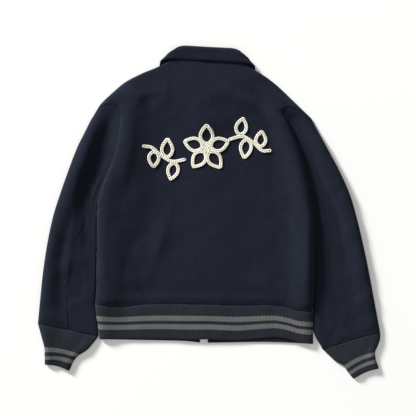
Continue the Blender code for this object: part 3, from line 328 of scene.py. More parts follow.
# Creases of the under side, which lift the cloth off the surface
UNDER_CREASES = [
    ("left front drag", -60, 190, -110, 120, -190, 60, 1.5, 10, 14),
    ("left front break", -230, 40, -170, -10, -120, -90, 1.3, 12, 10),
    ("left front low", -90, -130, -150, -170, -220, -190, 1.1, 9, 12),
    ("right front drag", 44, 190, 100, 130, 180, 40, 1.4, 14, 10),
    ("right front break", 214, 20, 160, -30, 96, -80, 1.3, 10, 13),
    ("right front low", 60, -150, 130, -172, 206, -196, 1.0, 12, 9),
    ("left arm under", -284, 90, -312, 40, -326, -30, 1.3, 9, 10),
    ("left elbow under", -350, -60, -318, -80, -282, -90, 1.5, 8, 10),
    ("left forearm under", -376, -150, -346, -176, -300, -190, 1.2, 9, 11),
    ("right arm under", 268, 80, 296, 30, 312, -40, 1.3, 10, 9),
    ("right elbow under", 342, -64, 310, -92, 268, -104, 1.5, 10, 8),
    ("right forearm under", 366, -150, 334, -180, 290, -200, 1.2, 11, 9),
]
CREASE_END = 0.12       # a crease fades to its ends as a half wave without this share each side
# Where the wool is eased onto the hem band: x, height, half width, reach up the cloth
HEM_GATHERS = [
    (-238, 0.5, 7, 24), (-206, -0.6, 8, 30), (-178, 0.6, 9, 36), (-143, -0.7, 8, 28),
    (-112, 0.5, 7, 22), (-79, -0.5, 9, 26), (-38, 0.5, 8, 30), (-6, -0.6, 7, 22),
    (29, 0.5, 8, 26), (58, -0.5, 7, 20), (92, 0.6, 9, 34), (121, -0.8, 8, 38),
    (152, 0.8, 9, 42), (181, -0.7, 8, 30), (213, 0.6, 8, 26),
]

# Fine cloth. Steps of the meshes, along the cloth
BACK_STEP, FRONT_STEP, SLEEVE_STEP, COLLAR_STEP = 3.6, 5, 4, 3
TAPE_STEP, TAPE_FINE_STEP = 6, 1.6      # along a zip tape and across it
KNIT_STEP, KNIT_FINE_STEP = 4, 1.5      # along the knit and across it, before it is respaced
KNIT_ROW = 3.6
KNIT_EDGE_ROWS = (0.012, 0.985)         # rows close to the knit's ends, as shares of its length
EDGE_BULGE = 0.2        # edges are rounded by this share of the wall,
COLLAR_BULGE = 0.3      # and the leaf's by this
INSIDE_LOW = 0.4        # the inner face of the cloth stays this high above the surface
LAYER_TOP = 5.2         # no trough of an upper layer goes below this
LEVEL_OUT = 1.2         # a trough starts to level out this far above it
FOLD_SWELL = 0.9        # folded edges stand out by this much, so that neighbours touch
# What counts as level cloth, as gain and start of the height of its outward direction
LEVEL_FOR_FOLDS = (1.7, 0.2)
LEVEL_FOR_SEAMS = (2, 0.3)
LEVEL_FOR_DIPS = (1.8, 0.2)
LEVEL_FOR_KNIT = (1.6, 0)
# Slow waves: size and height
UPPER_WAVES = (80, 0.4)
SMALL_WAVES = (34, 0.14)
UNDER_WAVES = (70, 0.4)
UNDER_LIFT = 0.4        # the under side's waves are taken off the surface by this much
KNIT_WAVES = (60, 0.35)
WAVES = 7               # waves that are added up
WAVE_LENGTHS = (0.6, 1.7)       # and their lengths, as shares of the size
WAVES_SUM = 2.6         # about what seven waves add up to
# Seams: depth and reach of the dip along a piece's edges
WOOL_DIP, SLEEVE_DIP, LEAF_DIP, DIP_REACH = 0.7, 0.25, 0.8, 2.4
KNIT_SEAM_DIP = (0.9, 2.4)
KNIT_END_DIP = (0.7, 1.6)
KNIT_START = 0.03       # the ridges are full from this share of the knit's length
ARMHOLE_RAISE = (1.0, 4.5, 5.5)         # of the back along the armhole: height, place, half width
ARMHOLE_GROOVE = (-0.7, 6, 8)           # of the sleeve along it
FLAT_SEAM = 0.85        # seams fade by this much over the top of the sleeve heads,
SHOULDER_LOW, SHOULDER_HIGH, SHOULDER_FADE = 200, 300, 30   # between these, over this distance
HEM_PUFF = (1.5, 14, 9)                 # above the hem band: height, place, half width
GATHER_START = 5        # a gather is full this far above the band

# Embroidery on the back: stems, then leaves and petals as base x, base y, angle, length, width
YARN = 2.5
LINK_LENGTH = 9.6
LINK_WIDTH = 7.4
LINK_PITCH = 5.4
FLOWER = (-6, 150)
PETAL_START = 10        # petals start this far from the flower's middle,
LEAF_START = 2          # and leaves this far from their place on the stem
EYE_RADIUS = 5          # of the ring of stitches in the flower
LEAF_POINTS = 16
LEAF_SHAPE = (0.85, 0.8)        # powers that set a leaf's belly and how blunt it is
LINK_POINTS = 12        # round a link's loop,
YARN_POINTS = 6         # and round its yarn
LINK_TAPER = 0.35       # a link is this much wider ahead than in its middle
LINK_RISE = (0.42, 0.2)         # height of its middle and its tilt, in yarn widths
LINK_CORE = 0.72        # the loop's width between yarn centres, as a share of the link's
DROP_HEIGHT = 60        # stitches are dropped on the cloth from here
STEMS = [
    [(-57, 124), (-87, 120), (-113, 134), (-134, 152), (-152, 155)],
    [(47, 171), (78, 178), (103, 164), (124, 145), (142, 145)],
]
LEAVES = [
    (-80, 118, -104, 38, 24), (-99, 127, 88, 42, 25), (-129, 145, -92, 35, 23),
    (71, 180, 78, 38, 24), (89, 173, -98, 42, 25), (119, 152, 84, 35, 23),
    (*FLOWER, 90, 43, 29), (*FLOWER, 18, 42, 29), (*FLOWER, 162, 43, 29),
    (*FLOWER, -54, 44, 29), (*FLOWER, -126, 42, 29),
]

# Sewing thread
STITCH = 2.6            # length on top of the cloth
STITCH_PITCH = 3.3
THREAD = 0.62
THREAD_POINTS = 5
# A stitch's rings: place along it, size, and rise in thread radii
STITCH_RINGS = [(-0.5, 0.45, -0.5), (-0.36, 1, 0.1), (0.36, 1, 0.1), (0.5, 0.45, -0.5)]
BACK_SEAM_INSETS = (1.8, 7.8)   # of the stitching from the sleeve's back seam
HEM_INSET = 2.6         # from the hem band's and the cuffs' seams
FRONT_INSET = 7         # from the front edges
COLLAR_INSET = 6        # from the leaf's edge
INSET_ROWS = 30         # rows in from a border within which a stitching line lies
LOOK_AHEAD = 0.5        # a line's direction is taken over this much on both sides of a stitch

# Studio
CAMERA_AT = (-0.0028, 0.0106, 2.7156)
CAMERA_LENS = 100
CAMERA_SENSOR = 36
KEY_AZIMUTH = math.radians(135)
KEY_HEIGHT = math.radians(18)
KEY_DISTANCE = 30
KEY_SIZE = 5.6
LIGHT = 1.05            # of the key and the fill together, on a level surface
FILL = (0.385, 0.385, 0.37)     # of the whole light on a level surface
FLOOR_GLOW = 0.16
FLOOR_HALF = 5
FLOOR_Z = -0.0004


# ---------------------------------------------------------------- curves and profiles
def curve_span(a, b, c, d, roots, shares):
    """Points at the given shares from b to c, on a smooth curve past all four (Catmull-Rom).

    roots are the square roots of the lengths of ab, bc and cd.
    """
    ab, bc, cd = roots
    leave = b + (c - a) * (bc / (3 * (ab + bc)))
    arrive = c - (d - b) * (bc / (3 * (bc + cd)))
    return [(1 - t)**3 * b + 3 * (1 - t)**2 * t * leave + 3 * (1 - t) * t**2 * arrive + t**3 * c
            for t in shares]


def smooth_line(points, steps=14):
    """A dense smooth line through the points, with so many steps from each to the next."""
    points = [Vector(p) for p in points]
    points = [2 * points[0] - points[1]] + points + [2 * points[-1] - points[-2]]
    shares = [i / steps for i in range(1, steps + 1)]
    line = [points[1]]
    for a, b, c, d in zip(points, points[1:], points[2:], points[3:]):
        roots = [(q - p).length ** 0.5 for p, q in ((a, b), (b, c), (c, d))]
        line += curve_span(a, b, c, d, roots, shares)
    return line


def shares_of(line):
    """How far along the line each of its points is, from 0 to 1."""
    run = [0.0]
    for a, b in zip(line, line[1:]):
        run.append(run[-1] + (b - a).length)
    return [r / run[-1] for r in run]


def between(keys, values, at):
    """Straight interpolation of values over keys that rise."""
    if at <= keys[0]:
        return values[0]
    for k0, k1, v0, v1 in zip(keys, keys[1:], values, values[1:]):
        if at <= k1:
            return v0 + (v1 - v0) * ((at - k0) / (k1 - k0))
    return values[-1]


def points_at(line, shares):
    keys = shares_of(line)
    return [between(keys, line, s) for s in shares]


def eased(x):
    """A soft step from 0 to 1, for a number or an array."""
    x = np.clip(x, 0, 1)
    return x * x * (3 - 2 * x)


def quarter_round(x):
    """Height of a rolled edge, 0 at the edge and 1 where the roll ends."""
    x = min(1.0, max(0.0, x))
    return math.sqrt(1 - (1 - x) ** 2)


def hump(distance, rise, fall):
    """1 out to rise, then a soft fall to 0."""
    return 0.5 * (1 + math.cos(math.pi * min(1.0, max(0.0, (distance - rise) / fall))))


def to_segment(p, a, b):
    """Distance from p to the segment a-b, and how far along the segment the nearest point is."""
    run = b - a
    t = min(1.0, max(0.0, (p - a).dot(run) / run.length_squared))
    return (p - a - t * run).length, t


def line_distance(p, line):
    return min(to_segment(p, a, b)[0] for a, b in zip(line, line[1:]))


def stepped_off(line, gap, side):
    """The line moved sideways by gap; side is +1 to the left of its direction, -1 to the right."""
    moved = []
    for i, p in enumerate(line):
        before = (p - line[i - 1]).xy if i else None
        after = (line[i + 1] - p).xy if i + 1 < len(line) else None
        normals = [Vector((-d.y, d.x)).normalized() for d in (before, after) if d and d.length]
        across = sum(normals, Vector((0, 0)))
        across *= 2 / across.length_squared if len(normals) == 2 else 1
        moved.append(p + side * gap * across.to_3d())
    return moved


# ---------------------------------------------------------------- shared places
ROWS = SIDE_ROWS + len(ARMHOLE_SHARES)
SHOULDER_SHARES = [0, 0.01, 0.04, 0.11, 0.22, 0.36, 0.52, 0.68, 0.84]
NECK_ROW = ROWS - len(COLLAR) + SIDE_STATION    # the fronts' row at the top of the zip
ZIP_CURVE = smooth_line(ZIP_LINE)
COLLAR_TURN = Matrix.Rotation(COLLAR_TILT, 3, "Z")


def collar_place(x, y, z=0.0):
    """From the collar's own axes to the jacket's."""
    middle_x, middle_y = COLLAR_MIDDLE
    return COLLAR_TURN @ Vector((x, y - middle_y, 0)) + Vector((middle_x, middle_y, z))


def collar_outward(row, sign):
    """The way the collar's outer face looks at a station of COLLAR, left (-1) or right (1)."""
    x, y = SIDE_OUTWARD
    turn = math.radians(row[7])
    level = COLLAR_TURN @ Vector((sign * x, y, 0)).normalized()
    return level * math.cos(turn) + Vector((0, 0, math.sin(turn)))


def off_leaf(p):
    """Distance in plan from p to the turned-down leaf on the front, 0 on it."""
    middle_x, middle_y = COLLAR_MIDDLE
    own = COLLAR_TURN.transposed() @ Vector((p.x - middle_x, p.y - middle_y, 0))
    own = Vector((abs(own.x), own.y + middle_y))
    edge = [Vector(row[5:7]) for row in COLLAR[:SIDE_STATION:-1]]
    edge = [Vector((0, edge[0].y))] + edge
    inside = own.x < edge[-1].x and own.y > between([q.x for q in edge], [q.y for q in edge], own.x)
    return 0 if inside else line_distance(own, edge)


def zip_x(y):
    return between([p.y for p in ZIP_CURVE], [p.x for p in ZIP_CURVE], y)


def lift(p):
    """How high the layers ride over the turned-down collar."""
    return COLLAR_LIFT * eased(1 - (off_leaf(p) - LIFT_MARGIN) / LIFT_RAMP)


def body_rows(side, armhole):
    """The ends of the body's rows on one side, hem to underarm to shoulder tip."""
    hem_to_underarm = points_at(smooth_line(side), [i / SIDE_ROWS for i in range(SIDE_ROWS + 1)])
    tip_to_underarm = points_at(smooth_line(armhole), ARMHOLE_SHARES)
    return hem_to_underarm + tip_to_underarm[-2::-1]


def row_share(row):
    """0 at the hem, UNDERARM_SHARE at the underarm, 1 at the shoulder tip."""
    if row <= SIDE_ROWS:
        return UNDERARM_SHARE * row / SIDE_ROWS
    return 1 - (1 - UNDERARM_SHARE) * ARMHOLE_SHARES[ROWS - 1 - row]


def armhole_height(row, heights):
    return SIDE_EDGE if row <= SIDE_ROWS else heights[ROWS - 1 - row]


def band_crest(share, right):
    return between([r[0] for r in EDGE_CREST], [r[2 if right else 1] for r in EDGE_CREST], share)


def zip_ridge(p):
    """The back's rise over the zip, which lies between the layers, and over its slider."""
    over_slider = math.exp(-(((p.y - SLIDER_Y) / SLIDER_RIDGE_HALF) ** 2))
    fade = 1 - eased((p.y - ZIP_RIDGE_END) / ZIP_RIDGE_FADE)
    beside = math.exp(-(((p.x - zip_x(p.y)) / ZIP_RIDGE_HALF) ** 2))
    return (ZIP_RIDGE + SLIDER_RIDGE * over_slider) * fade * beside


def folds(p, table):
    total = 0.0
    for _, ax, ay, bx, by, height, half in table:
        away, t = to_segment(p.xy, Vector((ax, ay)), Vector((bx, by)))
        taper = FOLD_END + (1 - FOLD_END) * math.sin(math.pi * t)
        total += height * taper * math.exp(-((away / half) ** 2))
    return total


# ---------------------------------------------------------------- sections of each piece
def row_points(left, right, shares, low_bow, high_bow, share):
    """One row of a panel between its two ends, bowed like the panel's low and high edges."""
    low, high = (1 - share) ** LOW_BOW_FADE, share**HIGH_BOW_FADE
    return [left.lerp(right, u) + low * a + high * b for u, a, b in zip(shares, low_bow, high_bow)]


def bows(line, shares):
    """How far the line stands off its own chord at each share."""
    return [p - line[0].lerp(line[-1], u) for p, u in zip(line, shares)]


def column_shares(line):
    """Shares for a panel's columns, between those in width and those along its top edge."""
    width = line[-1].x - line[0].x
    return [COLUMNS_BY_WIDTH * (p.x - line[0].x) / width + (1 - COLUMNS_BY_WIDTH) * s
            for p, s in zip(line, shares_of(line))]


def line_at_x(points, xs):
    line = smooth_line(points)
    keys = [p.x for p in line]
    return [Vector((x, between(keys, [p.y for p in line], x))) for x in xs]


def back_height(p, row, to_left, to_right, shoulders, in_neck):
    """Height of the back's outer face at plan point p."""
    share = row_share(row)
    swell = SWELL * min(1, to_left / SWELL_RUN, to_right / SWELL_RUN)
    swell *= eased(share / SWELL_START)
    swell *= 1 - eased((share - SWELL_END) / SWELL_FADE)
    crest = band_crest(share, False) * hump(to_left, CREST_RISE, CREST_FALL)
    crest += band_crest(share, True) * hump(to_right, CREST_RISE, CREST_FALL)
    ground = lift(p)
    to_shoulder = line_distance(p.xy, shoulders)
    off_collar = 1 - ground / COLLAR_LIFT
    inside = ground + TWO_LAYERS + swell + crest * off_collar
    inside += SHOULDER_ROLL * off_collar * hump(to_shoulder, EDGE_ROLL, EDGE_SETTLE)
    inside += zip_ridge(p) + eased(share / CREASE_START) * folds(p, BACK_FOLDS)
    rounds = [
        (quarter_round(to_left / CREST_RISE), armhole_height(row, ARMHOLE_TOP)),
        (quarter_round(to_right / CREST_RISE), armhole_height(row, ARMHOLE_TOP)),
    ]
    if not in_neck:
        rounds.append((quarter_round(to_shoulder / EDGE_ROLL), ground + EDGE_HALF))
    rolled = math.prod(r for r, _ in rounds)
    weight = sum(1 - r for r, _ in rounds)
    edge = sum((1 - r) * z for r, z in rounds) / weight if weight > 1e-9 else 0
    return edge + (inside - edge) * rolled


def neck_point(row, sign):
    """A point of the neck seam, on the outer face."""
    p = collar_place(sign * row[0], row[1])
    return Vector((p.x, p.y, ROLL_CENTRE + STAND_REACH * math.sin(math.radians(row[7]))))


def shoulder_line(points, neck_side, tip_first):
    """The shoulder seam's points from the tip to the side of the neck, or back."""
    line = points + [tuple(neck_side.xy)]
    reach = neck_side.x - points[0][0]
    xs = [points[0][0] + reach * share for share in SHOULDER_SHARES]
    plan = line_at_x(line, xs) if xs[0] < xs[-1] else line_at_x(line[::-1], xs)
    return plan if tip_first else plan[::-1]


def build_body():
    left_rows, right_rows = body_rows(LEFT_SIDE, LEFT_ARMHOLE), body_rows(RIGHT_SIDE, RIGHT_ARMHOLE)
    stations = [(row, -1) for row in COLLAR[SIDE_STATION::-1]]
    stations += [(row, 1) for row in COLLAR[1:SIDE_STATION + 1]]
    neck = [neck_point(row, sign) for row, sign in stations]
    left = shoulder_line(LEFT_SHOULDER, neck[0], True)
    right = shoulder_line(RIGHT_SHOULDER, neck[-1], False)
    top = left + [p.xy for p in neck] + right
    shares = column_shares(top)
    low_left, low_right = HEM_SEAM[0][0], HEM_SEAM[-1][0]
    hem = line_at_x(HEM_SEAM, [low_left + s * (low_right - low_left) for s in shares])
    low_bow, high_bow = bows(hem, shares), bows(top, shares)
    shoulders = left + [neck[0].xy], [neck[-1].xy] + right
    first, last = len(left), len(left) + len(neck) - 1
    grid = []
    for row in range(ROWS):
        ends = left_rows[row], right_rows[row]
        plan = row_points(*ends, shares, low_bow, high_bow, row_share(row))
        width = (ends[1] - ends[0]).length
        points = []
        for j, (p, u) in enumerate(zip(plan, shares)):
            in_neck = first <= j <= last
            z = back_height(p.to_3d(), row, u * width, (1 - u) * width, shoulders[u > 0.5], in_neck)
            points.append(Vector((p.x, p.y, z)))
        grid.append(points)
    for row in grid[:SIDE_ROWS + 1]:
        row[0].z += SEAM_GAP / 2
        row[-1].z += SEAM_GAP / 2
    for p in grid[-1][:first] + grid[-1][last + 1:]:
        p.z = lift(p) + EDGE_HALF + SEAM_GAP / 2
    grid[-1][first:last + 1] = neck
    keep_form("back", grid, WOOL)
    fronts = {
        "left": build_front("front_left", -1, left_rows, left),
        "right": build_front("front_right", 1, right_rows, right[::-1]),
    }
    return grid, fronts


def build_front(name, sign, edge_rows, shoulder):
    """A front panel, the lower layer: flat on the surface, rolled up to its side seam.

    Its rows run from the side seam and armhole to the front edge and neck seam.
    """
    stations = [(row, sign) for row in COLLAR[:SIDE_STATION - 1:-1]]
    neck = [neck_point(row, sign) for row, sign in stations]
    neck[0].x = zip_x(neck[0].y) + sign * HALF_OPENING
    top = shoulder + [neck[-1].xy]
    shares = column_shares(top)
    hem_side, hem_middle = edge_rows[0].x, zip_x(MIDDLE_HEM_Y) + sign * HALF_OPENING
    hem = line_at_x(HEM_SEAM, sorted(hem_side + s * (hem_middle - hem_side) for s in shares))
    hem = hem if sign < 0 else hem[::-1]
    low_bow, high_bow = bows(hem, shares), bows(top, shares)
    rows = [r for r in range(ROWS) if r > SIDE_ROWS or r % 2 == 0]
    grid = []
    for row in rows:
        if row <= NECK_ROW:
            y = hem[-1].y + (neck[0].y - hem[-1].y) * row_share(row) / row_share(NECK_ROW)
            inner_end = Vector((zip_x(y) + sign * HALF_OPENING, y))
        else:
            inner_end = neck[row - NECK_ROW].xy
        plan = row_points(edge_rows[row], inner_end, shares, low_bow, high_bow, row_share(row))
        width = (inner_end - edge_rows[row]).length
        points = []
        for p, u in zip(plan, shares):
            side = (1 - quarter_round(u * width / UNDER_ROLL)) * armhole_height(row, ARMHOLE_UNDER)
            off_edge = quarter_round(line_distance(p, top) / FRONT_TOP_ROLL)
            points.append(Vector((p.x, p.y, lift(p) + max(side, (1 - off_edge) * EDGE_HALF))))
        if row <= SIDE_ROWS:
            points[0].z = SIDE_EDGE - SEAM_GAP / 2
        if row >= NECK_ROW:
            points[-1] = neck[row - NECK_ROW]
        grid.append(points)
    for p in grid[-1][:-1]:
        p.z = lift(p) + EDGE_HALF - SEAM_GAP / 2
    keep_form(name, grid, WOOL, flip=sign < 0)
    return grid


def build_band(back, fronts):
    """The rib-knit hem band, one strip from front edge to front edge, round by the back."""
    left, right = fronts["left"][0], fronts["right"][0]
    folds_at = [Vector((p.x, p.y, SIDE_EDGE)) for p in (back[0][0], back[0][-1])]
    seam = left[:0:-1] + [folds_at[0]] + back[0][1:-1] + [folds_at[1]] + right[1:]
    last = len(seam) - 1
    lower = {True: smooth_line(BAND_BACK_EDGE), False: smooth_line(BAND_FRONT_EDGE)}
    edge = []
    for j, p in enumerate(seam):
        on_back = len(left) - 1 <= j <= last - len(right) + 1
        share = (p.x - folds_at[0].x) / (folds_at[1].x - folds_at[0].x)
        x = BAND_BACK_EDGE[0][0] + share * (BAND_BACK_EDGE[-1][0] - BAND_BACK_EDGE[0][0])
        if j in (0, last):
            x = zip_x(BAND_END_Y) + (HALF_OPENING if j else -HALF_OPENING)
        y = between([q.x for q in lower[on_back]], [q.y for q in lower[on_back]], x)
        to_fold = min(share, 1 - share) * (folds_at[1].x - folds_at[0].x)
        z = BAND_FOLD
        if on_back:
            inside = TWO_LAYERS + BAND_CREST * hump(to_fold, BAND_ROLL, BAND_SETTLE)
            inside += zip_ridge(Vector((x, y, 0)))
            z += (inside - z) * quarter_round(to_fold / BAND_ROLL)
        else:
            z *= 1 - quarter_round(to_fold / UNDER_ROLL)
        edge.append(Vector((x, y, z)))
    top = [p - Vector((0, SEAM_GAP, 0)) for p in seam]
    grid = [[a.lerp(b, share) for a, b in zip(top, edge)] for share in BAND_ROWS]
    keep_form("hem_rib", grid, RIB, flip=True)


def armhole_share(k):
    """Share of the armhole at point number k, which may lie between two points."""
    return between(list(range(len(ARMHOLE_SHARES))), ARMHOLE_SHARES, k)


def seam_3d(armhole, heights):
    """The armhole seam on one layer, through its points in plan at the given heights."""
    plan = points_at(smooth_line(armhole), ARMHOLE_SHARES)
    return [Vector((p.x, p.y, z)) for p, z in zip(plan, heights)]


def sleeve_plan(k, f, rows, seam_bow):
    """Plan point of a sleeve at armhole point k, f sections from the armhole."""
    outer, seam, inner = (line[f] for line in rows)
    joint = armhole_share(BACK_SEAM_POINT)
    s = armhole_share(k)
    if s <= joint:
        straight = outer.lerp(seam, s / joint)
    else:
        straight = seam.lerp(inner, (s - joint) / (1 - joint))
    fade = (1 - f / (len(rows[0]) - 1)) ** ARMHOLE_BOW_FADE
    return straight + fade * seam_bow(k)


def build_sleeve(side, table, armhole_top, armhole_under, cuff_table, sign):
    """A two-piece sleeve and its cuff, as loops over the top layer and back underneath."""
    count = len(table)
    rows = [[Vector((row[c], row[c + 1])) for row in table] for c in (0, 2, 4)]
    last_point = len(ARMHOLE_SHARES) - 1
    joint = armhole_share(BACK_SEAM_POINT)
    point_numbers = list(range(last_point + 1))

    def seam_point(k, heights):
        return between(point_numbers, heights, k)

    def bow(k):
        s = armhole_share(k)
        if s <= joint:
            chord = rows[0][0].lerp(rows[1][0], s / joint)
        else:
            chord = rows[1][0].lerp(rows[2][0], (s - joint) / (1 - joint))
        return seam_point(k, armhole_top).xy - chord

    def point(k, f, top):
        if f == 0:
            return seam_point(k, armhole_top if top else armhole_under).copy()
        p = sleeve_plan(k, f, rows, bow)
        outer, inner = rows[0][f], rows[2][f]
        to_outer, to_inner = (p - outer).length, (p - inner).length
        crest, fold = table[f][6], table[f][7]
        end = eased(f - (count - 2))
        round_outer = quarter_round(to_outer / (SLEEVE_RISE if top else UNDER_ROLL))
        round_inner = quarter_round(to_inner / (EDGE_ROLL if top else UNDER_INNER_ROLL))
        if top:
            inside = SLEEVE_LAYERS + crest * hump(to_outer, SLEEVE_RISE, SLEEVE_FALL)
            inside += (1 - end) * SHOULDER_ROLL * hump(to_inner, EDGE_ROLL, EDGE_SETTLE)
            to_seam = (p - rows[1][f]).length
            inside += (1 - end) * SEAM_RIDGE * math.exp(-((to_seam / SEAM_RIDGE_HALF) ** 2))
            low = fold + (INNER_FOLD - fold) * (to_outer / max(to_outer + to_inner, 1e-6))
            z = low + (inside - low) * round_outer * round_inner
        else:
            z = max(fold * (1 - round_outer), INNER_FOLD * (1 - round_inner))
        start = seam_point(k, armhole_top if top else armhole_under)
        own = eased((p - start.xy).length / ARMHOLE_REACH)
        if k in (0, last_point):
            z = fold if k == 0 else INNER_FOLD
        return Vector((p.x, p.y, start.z + (z - start.z) * own))

    # Columns of the two pieces, each an armhole point and whether it is on the top layer
    back, front = BACK_SEAM_POINT, FRONT_SEAM_POINT
    top_side = [(k, True) for k in (back - SEAM_STEP, *range(back - 1, 0, -1))]
    top_side += [(k, i < 3) for i, k in enumerate(TURN)]
    top_side += [(k, False) for k in (*range(1, front), front - SEAM_STEP)]
    under_side = [(k, False) for k in (front + SEAM_STEP, *range(front + 1, last_point))]
    under_side += [(last_point - k, i > 2) for i, k in enumerate(INNER_TURN)]
    under_side += [(k, True) for k in (*range(last_point - 1, back, -1), back + SEAM_STEP)]
    flip = sign > 0
    for half, columns in (("top", top_side), ("under", under_side)):
        grid = [[point(k, f, top) for k, top in columns] for f in range(count)]
        keep_form(f"sleeve_{side}_{half}", grid, WOOL, flip=flip)
    ring = [(back, True)] + top_side[1:-1] + [(front, False)] + under_side[1:-1]
    seam = [point(k, count - 1, top) for k, top in ring]
    build_cuff(f"cuff_{side}", seam, ring, cuff_table, flip)


def build_cuff(name, seam, ring, table, flip):
    """A rib-knit cuff: a flat tube from the sleeve's last section to its open end."""
    last_point = len(ARMHOLE_SHARES) - 1
    numbers = [k for k, _ in ring]
    outer, inner = seam[numbers.index(0)], seam[numbers.index(last_point)]
    run = (inner - outer).xy
    shares = [min(1, max(0, (p - outer).xy.dot(run) / run.length_squared)) for p in seam]
    away = Vector((run.y, -run.x)).normalized().to_3d() * (-1 if flip else 1) * SEAM_GAP
    away *= 1 if away.y < 0 else -1
    grid = [[p + away for p in seam]]
    for i, (ox, oy, ix, iy) in enumerate(table, 1):
        a, b = Vector((ox, oy)), Vector((ix, iy))
        width = (b - a).length
        own = eased(i / CUFF_SETTLED)
        bow = CUFF_BOW * min(1, i / CUFF_SETTLED)
        row = []
        for p, s, (k, top) in zip(seam, shares, ring):
            q = a.lerp(b, s)
            q.y += bow * 4 * s * (1 - s)
            to_edge = min(s, 1 - s) * width
            fold = INNER_FOLD
            if k in (0, last_point):
                z = fold
            elif top:
                inside = CUFF_LAYERS + CUFF_CREST * hump(to_edge, CUFF_ROLL, CUFF_SETTLE)
                z = fold + (inside - fold) * quarter_round(to_edge / CUFF_ROLL)
            else:
                z = fold * (1 - quarter_round(to_edge / UNDER_INNER_ROLL))
            row.append(Vector((q.x, q.y, p.z + (z - p.z) * own)))
        grid.append(row)
    keep_form(name, grid, RIB, flip=flip, loop=True)


def build_collar(fronts):
    """The stand rises from the neck seam to the fold, and the leaf turns down over it."""
    stations = [(row, -1) for row in COLLAR[::-1]] + [(row, 1) for row in COLLAR[1:]]
    seam = [neck_point(row, sign) for row, sign in stations]
    seam[0].x, seam[-1].x = (fronts[side][SIDE_STATION - len(COLLAR)][-1].x
                             for side in ("left", "right"))
    outward = [collar_outward(*station) for station in stations]
    top = [collar_place(sign * row[2], row[3], row[4]) + STAND_REACH * out
           for (row, sign), out in zip(stations, outward)]
    rising = [(b - a).normalized() for a, b in zip(seam, top)]
    base = []
    for j, (p, up) in enumerate(zip(seam, rising)):
        along = (seam[min(j + 1, len(seam) - 1)] - seam[max(j - 1, 0)]).normalized()
        away = (up - along * up.dot(along)).normalized()
        flat = abs(stations[j][0][7]) == 90
        base.append(p + (STAND_GAP if flat else TURNING_STAND_GAP) * away)
    stand = [base, [a.lerp(b, 0.5) for a, b in zip(base, top)], top]
    keep_form("collar_stand", stand, STAND_WALL)

    columns = []
    for j, ((row, sign), out) in enumerate(zip(stations, outward)):
        radius = row[8]
        edge = collar_place(sign * row[5], row[6], ROLL_CENTRE) + LEAF_REACH * out
        up = (rising[j] - out * out.dot(rising[j])).normalized()
        gap = LEAF_GAP if abs(row[0]) < LEAF_GAP_X else TURNING_LEAF_GAP
        start = top[j] - (STAND_WALL - radius) * out + gap * up
        facing = [math.cos(a) * up + math.sin(a) * out for a in map(math.radians, LEAF_BEND)]
        bend = [start + radius * direction for direction in facing]
        columns.append(bend + [bend[-1].lerp(edge, share) for share in LEAF_ROWS])
    leaf = [[column[i] for column in columns] for i in range(len(columns[0]))]
    keep_form("collar_leaf", leaf, LEAF_WALL, flip=True)


# ---------------------------------------------------------------- fine cloth
forms = {}      # by node: the coarse outer face, the wall, and how it is turned and closed
faces = {}      # by wool piece: the fine outer face and its outward directions
pieces = {}


def keep_form(name, grid, wall, flip=False, loop=False):
    """Keeps the coarse outer face of a piece, until its fine shell is made."""
    forms[name] = np.array([[tuple(p) for p in row] for row in grid]), wall, flip, loop


def spline_along(points, step, loop=False):
    """The points refined to about one step along their first axis, on a smooth surface."""
    if loop:
        ring = [points[-1], *points, points[0], points[1]]
    else:
        ring = [2 * points[0] - points[1], *points, 2 * points[-1] - points[-2]]
    made = []
    for a, b, c, d in zip(ring, ring[1:], ring[2:], ring[3:]):
        lengths = [np.linalg.norm(run, axis=-1, keepdims=True) for run in (b - a, c - b, d - c)]
        count = max(1, round(float(lengths[1].mean()) / step))
        roots = [np.sqrt(length) + 1e-9 for length in lengths]
        made += curve_span(a, b, c, d, roots, [i / count for i in range(count)])
    if not loop:
        made.append(points[-1])
    return np.array(made)


def at_places(points, places):
    """Points at fractional places along the first axis."""
    low = np.clip(np.floor(places).astype(int), 0, len(points) - 2)
    part = (places - low).reshape(-1, *[1] * (points.ndim - 1))
    return points[low] * (1 - part) + points[low + 1] * part


def run_along(points):
    """Mean length run from the start to each place along the first axis."""
    steps = np.linalg.norm(np.diff(points, axis=0), axis=-1).mean(axis=1)
    return np.concatenate([[0], np.cumsum(steps)])


def respaced(points, goals):
    """The points at the given shares of the length along the first axis."""
    run = run_along(points)
    return at_places(points, np.interp(np.asarray(goals) * run[-1], run, np.arange(len(run))))


def close_to_edges(points):
    """Two more rows close to each end of the first axis, for what a seam does to the cloth."""
    last = len(points) - 1
    ends = [last - 0.65, last - 0.3, last]
    return at_places(points, np.array([0, 0.3, 0.65, *range(1, last), *ends]))


def wool_face(name, step):
    """A wool piece's outer face as a fine grid, finer at its edges: rows, columns, xyz."""
    points = spline_along(forms[name][0], step)
    points = close_to_edges(points).swapaxes(0, 1)
    return close_to_edges(spline_along(points, step)).swapaxes(0, 1)


def rib_face(name, row_shares, columns):
    """A knit piece's outer face, with rows at the given shares and evenly spaced columns."""
    points, _, _, loop = forms[name]
    across = spline_along(spline_along(points, KNIT_STEP).swapaxes(0, 1), KNIT_FINE_STEP, loop)
    if loop:
        across = np.concatenate([across, across[:1]])
    across = respaced(across, np.arange(columns) / (columns if loop else columns - 1))
    return respaced(across.swapaxes(0, 1), row_shares)


def facing(points, flip=False, loop=False):
    """The outward direction at each point of a grid."""
    if loop:
        across = np.roll(points, -1, axis=1) - np.roll(points, 1, axis=1)
    else:
        across = np.gradient(points, axis=1)
    out = np.cross(across, np.gradient(points, axis=0))
    out /= np.linalg.norm(out, axis=-1, keepdims=True) + 1e-12
    return -out if flip else out


